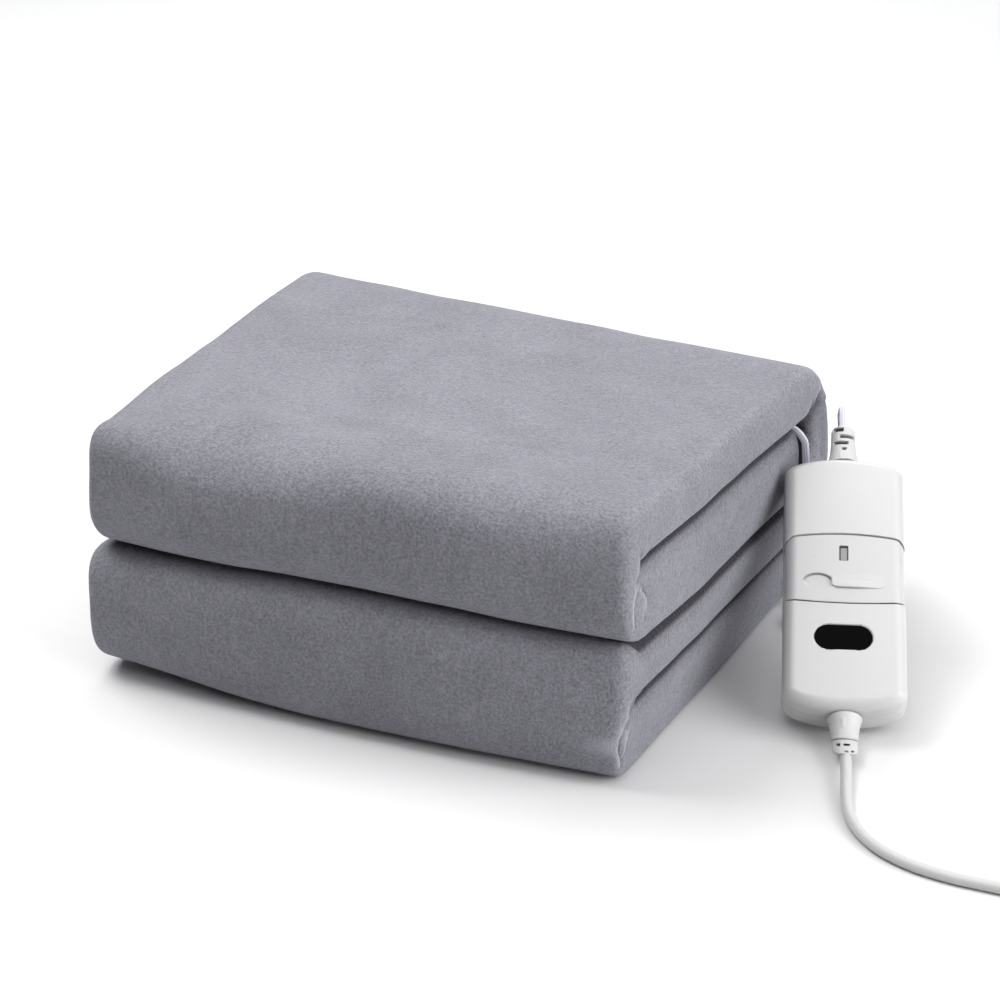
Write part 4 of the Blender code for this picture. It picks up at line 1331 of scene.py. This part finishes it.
    def panel_hollow_shade(self, x: Array, y: Array) -> Array:
        """How much painted shade the panel gets: in the flag slot, in both seam grooves, along the scoop's
        upper edge, and as a painted shadow under the slider's lower edge beside the track.

        Args:
            x: places across the case.
            y: places along it.

        Returns:
            0 for no painted shade to 1 for the darkest painted shade.
        """
        scoop, track = self.scoop, self.track
        # painted shade in the flag slot
        slot = smooth_step(0.8 - self.flag.box(x, y, 0.4 * MM) / (0.25 * MM))
        # painted shadow along the scoop's upper wall
        crescent = (bell((scoop.reach(x, y) - 0.95) * scoop.half_y, 0.55 * MM)
                    * smooth_step((y - scoop.y + 1.5 * MM) / (4 * MM))
                    * smooth_step((scoop.x + scoop.half_x - 0.2 * MM - x) / (0.8 * MM)))
        under = self.seam_line(self.cap_seam)(x) - y
        above = y - self.seam_line(self.foot_seam)(x)
        # painted shadow in the seam grooves under the cap and above the foot
        groove = np.maximum(smooth_step(1.35 - under / (1.05 * MM)),
                            smooth_step(1.45 - above / (1.15 * MM)) * (0.95 + 0.2 * (np.abs(x) > 0.022)))
        # painted shadow under the slider's lower edge
        ledge = (bell(y - track.y + track.half_y + 1.0 * MM, 0.8 * MM)
                 * smooth_step((x - track.x + track.half_x) / (2 * MM))
                 * smooth_step((track.x + track.half_x - x) / (22 * MM)))
        return np.clip(np.maximum.reduce([slot, 0.80 * crescent, 0.97 * groove, 0.50 * ledge]), 0.0, 1.0)

    def display_relief(self, x: Array, y: Array) -> Array:
        """Pocket of the display window with a soft rounded brim."""
        away = self.display.stadium(x, y)
        return sunk(away, 1.3 * MM, 0.3 * MM) - 0.25 * MM * bell(np.maximum(away, 0), 0.7 * MM)

    def base_relief(self, x: Array, y: Array) -> Array:
        """Four blind screw wells in the rear shell."""
        return sum(sunk(np.hypot(x - at[0], y - at[1]) - self.well_radius, 2.2 * MM, 0.5 * MM)
                   for at in self.wells)

    def covers(self, palette: Palette) -> None:
        """Make the rear shell and the three front covers.

        Args:
            palette: the finishes.
        """
        half, seat = self.seam / 2, self.parting + self.seam
        low_end, high_end = self.plan.end_fall, lambda x: self.plan.length - self.plan.end_fall(x)
        cap = Shell("case_cap", self.seam_line(self.cap_seam, half), high_end, self.depth, seat,
                    seam_low=True)
        panel = Shell("case_panel", self.seam_line(self.foot_seam, half),
                      self.seam_line(self.cap_seam, -half), self.depth - self.panel_step, seat,
                      inset=self.panel_step, seam_low=True, seam_high=True, rows=170, columns=240,
                      relief=self.panel_relief, hollows=self.panel_hollow_shade)
        foot = Shell("case_foot", low_end, self.seam_line(self.foot_seam, -half), self.depth, seat,
                     seam_high=True, rows=130, columns=170, relief=self.display_relief)
        back = Shell("case_back", low_end, high_end, self.parting, 0.0, self.back_rim, rows=170, columns=90,
                     relief=self.base_relief, upside_down=True)
        for shell, node, material in (
            (cap, "top_cover", palette.white), (panel, "middle_panel", palette.panel),
            (foot, "lower_cover", palette.white), (back, "base_shell", palette.white),
        ):
            dress(shell.build(self.plan, self.place, material), "white_plastic", node)

    def slider_bar(self, palette: Palette) -> Piece:
        """Wedge-shaped slider: flush along its top edge, standing out along its lower one.

        Rings of a rounded rectangle are drawn in step by step. The height above the panel is a share
        for each ring times a wedge that grows from the top edge to the lower and dies to the right.

        Args:
            palette: the finishes.

        Returns:
            The new object.
        """
        bar, (inset, share) = self.slider, np.array(self.slider_rings).T[:, :, None]
        cos, sin = superellipse(whole_turn(128), 7.0)
        x = bar.x + (bar.half_x - inset * MM) * cos
        y = bar.y + (bar.half_y - inset * MM) * sin
        wedge = 0.16 + 1.30 * smooth_step((bar.y + bar.half_y - y) / (1.9 * bar.half_y))
        wedge = wedge * (1.0 - 0.86 * smooth_step((x - bar.x + 2 * MM) / (bar.half_x * 1.05)))
        z = self.depth - self.panel_step + 0.05 * MM + share * wedge * MM
        return closed_tube("slider_bar", self.place.to_frame(joined(x, y, z)), palette.white)

    def fittings(self, palette: Palette) -> None:
        """Make the display window, the level flag and the slider.

        The window and the flag are plates whose rings are drawn in step by step from the walls of
        their pockets: the inset of a ring and how far it lies below the case's face, in millimetres.

        Args:
            palette: the finishes.
        """
        angle, gap = whole_turn(96), self.seam / MM
        window, flag, panel = self.display, self.flag, self.panel_step / MM
        rings = np.array([(gap, 1.1), (gap, 0.45), (0.55, 0.22), (2.2, 0.14), (5.0, 0.10)])
        inset, drop = rings.T[:, :, None] * MM
        reach = window.half_x - window.half_y
        ends = reach * np.sign(np.cos(angle) + 1e-9)
        glass = joined(window.x + (window.half_y - inset) * np.cos(angle) + ends,
                       window.y + (window.half_y - inset) * np.sin(angle), self.depth - drop)
        rings = np.array([(gap, panel + 1.1), (gap, panel + 0.80), (0.5, panel + 0.65)])
        inset, drop = rings.T[:, :, None] * MM
        cos, sin = superellipse(angle, 9.0)
        insert = joined(flag.x + 0.25 * MM + (flag.half_x - 0.25 * MM - inset) * cos,
                        flag.y - 0.55 * MM + (flag.half_y - 0.55 * MM - inset) * sin, self.depth - drop)
        dress(closed_tube("display_glass", self.place.to_frame(glass), palette.window, 30.0),
              "dark_window", "display_window")
        dress(closed_tube("flag_insert", self.place.to_frame(insert), palette.flag, 30.0),
              "grey_plastic", "level_flag")
        dress(self.slider_bar(palette), "white_plastic", "level_slider", body="slider")

    def boot(self, end: End, palette: Palette) -> Piece:
        """A tapered strain relief with cut slots.

        The radius is the profile at distance s from the case less a dent for each slot, an eased box in
        s and in the sideways offset r sin(theta), on the front and the back alike. The lower boot's
        line bends up by the case's lean over its length, so that it ends level on the floor.

        Args:
            end: which boot.
            palette: the finishes.

        Returns:
            The new object.
        """
        upper, length = end is End.UPPER, self.boot_length
        s, angle = np.linspace(0.0, 1.0, 170), whole_turn(112)
        distance = (s * length / MM)[:, None]
        radius = np.interp(s, *self.boot_profile)[:, None]
        sideways = radius * np.sin(angle)
        facing = np.abs(np.cos(angle)) > 0.08
        dent = np.zeros_like(sideways)
        for at, aside, half_s, half_x in self.upper_cuts if upper else self.lower_cuts:
            arched = distance - at - 0.02 * sideways ** 2 * upper
            dent = np.maximum(dent, facing * smooth_step((half_s - np.abs(arched)) / 0.45 + 0.5)
                              * smooth_step((half_x - np.abs(sideways - aside)) / 0.6 + 0.5))
        radius = radius - self.cut_depth * dent
        groove = bell(distance - self.boot_groove, 0.45)
        if upper:
            ridges = bell(sideways - 2.4, 0.5) + bell(sideways + 2.4, 0.5)
            radius = radius + 0.35 * ridges * smooth_step((9.5 - distance) / 4.0) * facing
            turn = np.zeros_like(s)
            line = joined(0.0, self.plan.length + self.seam + s * length, self.depth / 2)
        else:
            hook = smooth_step((1.4 - np.abs(sideways + 1.6)) / 0.8) * smooth_step(
                (3.2 - np.abs(distance - 6.5)) / 1.2) * facing
            radius = radius + 0.45 * bell(distance - self.boot_collar, 0.8) - 0.75 * groove + 0.4 * hook
            turn = math.radians(self.place.lean) * s
            arc = length / math.radians(self.place.lean)
            line = joined(0.0, -2 * self.seam - arc * np.sin(turn),
                          self.depth / 2 + arc * (1.0 - np.cos(turn)))
        lift = joined(0.0, -np.sin(turn), np.cos(turn))
        grid = line[:, None, :] + MM * ((radius * np.sin(angle))[..., None] * RIGHT
                                        + (radius * np.cos(angle))[..., None] * lift[:, None, :])
        piece = closed_tube(f"boot_{end.value}", self.place.to_frame(grid), palette.rubber, 50.0)
        # painted shade in the cut slots and, on the lower boot, in its groove
        mark(piece, "hollow", np.append(0.9 * dent + (0.0 if upper else 0.6) * groove, [0.0, 0.0]))
        return piece

    def build(self, palette: Palette) -> None:
        """Make the whole controller.

        Args:
            palette: the finishes.
        """
        self.covers(palette)
        self.fittings(palette)
        for end in End:
            dress(self.boot(end, palette), "white_rubber", f"{end.value}_boot")


# ------------------------------------------------------------------------------ cords
@dataclass
class LeadCord:
    """Flat ribbed lead from the throw's hem, round behind the controller and into its upper boot."""

    half_width: float = 0.0024
    half_height: float = 0.0016
    spacing: float = 0.0016
    route: tuple[Triple, ...] = (
        (0.3624, 0.2805, 0.1330), (0.3804, 0.2805, 0.1330), (0.3875, 0.2805, 0.1311),
        (0.3928, 0.2805, 0.1260), (0.3951, 0.2801, 0.1189), (0.3984, 0.2766, 0.0852),
        (0.3994, 0.2764, 0.0514), (0.3981, 0.2798, 0.0177), (0.3979, 0.2785, 0.0102),
        (0.3982, 0.2730, 0.0047), (0.3986, 0.2655, 0.0027), (0.3991, 0.2525, 0.0027),
        (0.4027, 0.2432, 0.0027), (0.4113, 0.2383, 0.0027), (0.4136, 0.2379, 0.0027),
        (0.4222, 0.2388, 0.0027), (0.4289, 0.2444, 0.0027), (0.4313, 0.2528, 0.0027),
        (0.4311, 0.2781, 0.0027), (0.4299, 0.2857, 0.0027), (0.4267, 0.2926, 0.0027),
        (0.4160, 0.3089, 0.0027), (0.4119, 0.3152, 0.0047), (0.4089, 0.3198, 0.0102),
        (0.4084, 0.3225, 0.0177), (0.4111, 0.3271, 0.0538), (0.4106, 0.3263, 0.0898),
        (0.4078, 0.3215, 0.1259), (0.4083, 0.3199, 0.1322), (0.4098, 0.3155, 0.1368),
        (0.4117, 0.3095, 0.1384), (0.4137, 0.3035, 0.1366), (0.4169, 0.2936, 0.1304),
    )
    sleeve_length: float = 0.024
    collars: Pair = (0.62, 0.78)
    sleeve_profile: tuple[tuple[float, ...], ...] = ((0, 0.04, 0.25, 0.7, 0.96, 1.0),
                                                     (2.4, 3.4, 4.2, 3.7, 3.1, 2.7))

    def section(self) -> Array:
        """Flat oval whose two faces carry two fine grooves each.

        Returns:
            Two offsets for each point.
        """
        cos, sin = superellipse(whole_turn(64), 3.2)
        across = self.half_width * cos
        groove = bell(across + 0.9 * MM, 0.22 * MM) + bell(across - 0.9 * MM, 0.22 * MM)
        tall = np.abs(self.half_height * sin) - 0.42 * MM * groove * np.abs(sin)
        return joined(across, np.sign(sin) * tall)

    def build(self, palette: Palette) -> None:
        """Make the lead and the moulded sleeve at the hem.

        Args:
            palette: the finishes.
        """
        line = smooth_route(self.route, self.spacing) - FOOTPRINT_MIDDLE
        lead = closed_tube("ribbed_lead", tube_grid(line, UP, self.section()), palette.sheath, 55.0)
        dress(lead, "lead_sheath", "lead_cord")
        self.sleeve(palette)
        LOG.info("lead: %.3f m", line_length(line))

    def sleeve(self, palette: Palette) -> None:
        """Turned sleeve: a profile of radii along its axis with two shallow collars.

        Args:
            palette: the finishes.
        """
        s = np.linspace(0.0, 1.0, 60)
        collars = sum(bell(s - at, 0.03) for at in self.collars)
        radius = (np.interp(s, *self.sleeve_profile) + 0.25 * collars) * MM
        line = np.array(self.route[0]) - (0.0003, 0.0, 0.0) - FOOTPRINT_MIDDLE + joined(
            (s - 1.0) * self.sleeve_length, 0.0, 0.0)
        grid = tube_grid(line, UP, ring_section(40) * radius[:, None, None])
        dress(closed_tube("hem_sleeve", grid, palette.sheath, 50.0), "lead_sheath", "lead_sleeve")


@dataclass
class MainsCord:
    """Round mains cord: from the lower boot across the floor, wound in a tied coil, to its plug.

    Each ring of the tie is its share of the tape's thickness and of its half width. The plug's profile
    is shares of its length with half widths and half heights in millimetres. Its grip is the start, the
    end and the pitch of its side ribs, as shares of its length.
    """

    radius: float = 0.0035
    route_spacing: float = 0.002
    spacing: float = 0.0018
    clear: float = 0.0002
    tie_thick: float = 0.0009
    tie_width: float = 0.012
    tie_slack: float = 0.0011
    tie_turn: float = -0.6
    tie_rings: tuple[Pair, ...] = ((0.0, -1.0), (0.0, 1.0), (0.6, 1.0), (1.0, 0.93), (1.0, -0.93),
                                   (0.6, -1.0))
    seam: float = 0.0003
    coil_centre: Pair = (0.6700, 0.0280)
    mean_radius: float = 0.0385
    turns: float = 6.25
    plug_near: float = 0.1335
    plug_length: float = 0.0330
    plug_height: float = 0.0170
    plug_grip: Triple = (0.16, 0.585, 0.085)
    plug_profile: tuple[tuple[float, ...], ...] = (
        (0, 0.03, 0.12, 0.45, 0.70, 0.96, 1.0), (7.2, 8.6, 9.6, 11.6, 12.9, 12.9, 12.0),
        (6.2, 7.4, 8.0, 8.4, 8.5, 8.5, 7.7))
    shown: tuple[Triple, ...] = (
        (0.48476, 0.08472, 0.00783), (0.48606, 0.08072, 0.00783), (0.48745, 0.07644, 0.00783),
        (0.4922, 0.0600, 0.0065), (0.4972, 0.0430, 0.0045), (0.5041, 0.0250, 0.0037),
        (0.5150, 0.0085, 0.0037), (0.5308, -0.0050, 0.0037), (0.5510, -0.0140, 0.0037),
        (0.5745, -0.0180, 0.0037),
        (0.6000, -0.0182, 0.0037), (0.6240, -0.0177, 0.0037), (0.6441, -0.0175, 0.0037),
    )
    tail: tuple[Triple, ...] = (
        (0.7155, 0.0540, 0.0112), (0.7155, 0.0680, 0.0106), (0.7155, 0.0830, 0.0094),
        (0.7155, 0.0980, 0.0087), (0.7155, 0.1050, 0.0087), (0.7155, 0.1120, 0.0087),
    )

    def coil(self) -> Array:
        """Wound turns: three columns in a lower and an upper layer.

        With t in turns, the radius steps out, middle, in, in, middle, out and the height low, low, low,
        high, high, high, each step eased over a sixth of a turn, and the place is the coil's centre
        plus the radius at the angle 2 pi t less a quarter turn.

        Returns:
            Points of the wound line.
        """
        t = np.linspace(0.0, self.turns, int(self.turns * 72) + 1)
        pitch = 2 * self.radius
        eased = smooth_step((t[:, None] - np.arange(1, 6)) / 0.17 + 0.5)
        radius = self.mean_radius + pitch + eased @ np.array([-pitch, -pitch, 0.0, pitch, pitch])
        height = (self.clear + self.tie_thick + self.seam + self.radius
                  + eased @ np.array([0.0, 0.0, pitch, 0.0, 0.0]))
        angle = 2.0 * math.pi * t - math.pi / 2
        return joined(self.coil_centre[0] + radius * np.cos(angle),
                      self.coil_centre[1] + radius * np.sin(angle), height)

    def build(self, palette: Palette) -> None:
        """Make the cord, its tie and its plug.

        Args:
            palette: the finishes.
        """
        shown, tail = (smooth_route(part, self.route_spacing) for part in (self.shown, self.tail))
        line = even_points(np.concatenate([shown, self.coil(), tail]), self.spacing) - FOOTPRINT_MIDDLE
        grid = tube_grid(line, UP, ring_section(20, self.radius, self.radius))
        cord = dress(closed_tube("mains_lead", grid, palette.rubber), "white_rubber",
                     "mains_cord", "mains_coil", "mains_tail")
        extras = [self.tie(palette), *self.plug(palette)]
        LOG.info("mains cord: %.3f m", line_length(line))

    def tie(self, palette: Palette) -> Piece:
        """Flat tape once round the coil: a rounded frame in section, carried across its width.

        Args:
            palette: the finishes.

        Returns:
            The new object.
        """
        low = self.clear + self.tie_thick
        high = low + 3 * self.seam + 4 * self.radius
        count, rings = 48, len(self.tie_rings)
        cos, sin = superellipse(whole_turn(count), 7.0)
        grow, aside = np.array(self.tie_rings).T[:, :, None]
        wide = 3 * self.radius + self.tie_slack + grow * self.tie_thick
        tall = (high - low) / 2 + grow * self.tie_thick
        grid = joined(wide * cos, aside * self.tie_width / 2, (high + low) / 2 + tall * sin)
        at = (self.coil_centre[0] - self.mean_radius * math.cos(self.tie_turn),
              self.coil_centre[1] - self.mean_radius * math.sin(self.tie_turn), 0.0)
        points = grid.reshape(-1, 3) @ rotation(2, self.tie_turn).T + at - FOOTPRINT_MIDDLE
        first = np.arange(count)
        last = first + (rings - 1) * count
        closing = joined(last, np.roll(last, -1), np.roll(first, -1), first)
        faces = [grid_quads(rings, count, True), closing]
        return dress(make_piece("coil_tape", points, faces, palette.tape, 35.0), "tie_tape", "coil_tie")

    def plug(self, palette: Palette) -> list[Piece]:
        """Moulded plug: a superellipse section whose half sizes vary along it, a ringed boot and two pins.

        Args:
            palette: the finishes.

        Returns:
            The body, the boot and the solids' own pins.
        """
        base = np.array([self.tail[-1][0], 0.0, self.plug_height / 2 + self.clear]) - FOOTPRINT_MIDDLE
        s = np.linspace(0.0, 1.0, 90)
        wide, tall = (np.interp(s, self.plug_profile[0], sizes) for sizes in self.plug_profile[1:])
        grip_start, grip_end, grip_pitch = self.plug_grip
        ribs = 0.5 - 0.5 * np.cos(2 * math.pi * (s - grip_start) / grip_pitch)
        wide = wide - 0.55 * ribs * ((s > grip_start) & (s < grip_end))
        line = joined(0.0, self.plug_near + s * self.plug_length, 0.0) + base
        section = ring_section(64, power=3.4) * joined(wide, tall)[:, None, :] * MM
        body = closed_tube("plug_shell", tube_grid(line, RIGHT, section), palette.white, 35.0)
        t = np.linspace(0.0, 1.0, 80)
        near = self.tail[-1][1] + self.seam
        radius = np.interp(t, [0, 0.04, 1.0], [3.9, 4.4, 7.2]) * MM
        radius = radius - 0.6 * MM * smooth_step(2.2 * np.sin(2 * math.pi * t * 4.5)) * (t < 0.92)
        line = joined(0.0, near + t * (self.plug_near - self.seam - near), 0.0) + base
        boot = closed_tube("plug_relief", tube_grid(line, RIGHT, ring_section(40) * radius[:, None, None]),
                           palette.rubber)
        dress(body, "white_plastic", "plug_body")
        dress(boot, "white_rubber", "plug_boot")
        pins = [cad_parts[name] for name in ("plug_blade_left", "plug_blade_right")]
        for pin in pins:
            pin.data.materials.clear()
            pin.data.materials.append(palette.metal)
        return [body, boot, *pins]


# ------------------------------------------------------------------------------ putting it together
def write_sizes() -> None:
    """Bring the scene's placements up to date."""
    bpy.context.view_layer.update()


def main() -> None:
    """Build the studio, the cords, the controller and the throw."""
    logging.basicConfig(level=logging.INFO, format="%(name)s: %(message)s")
    palette = Palette()
    studio = Studio()
    studio.camera()
    LeadCord().build(palette)
    MainsCord().build(palette)
    studio.lights()
    studio.floor(palette)
    HandController().build(palette)
    FoldedThrow().build(palette)
    write_sizes()


if __name__ == "__main__":
    main()
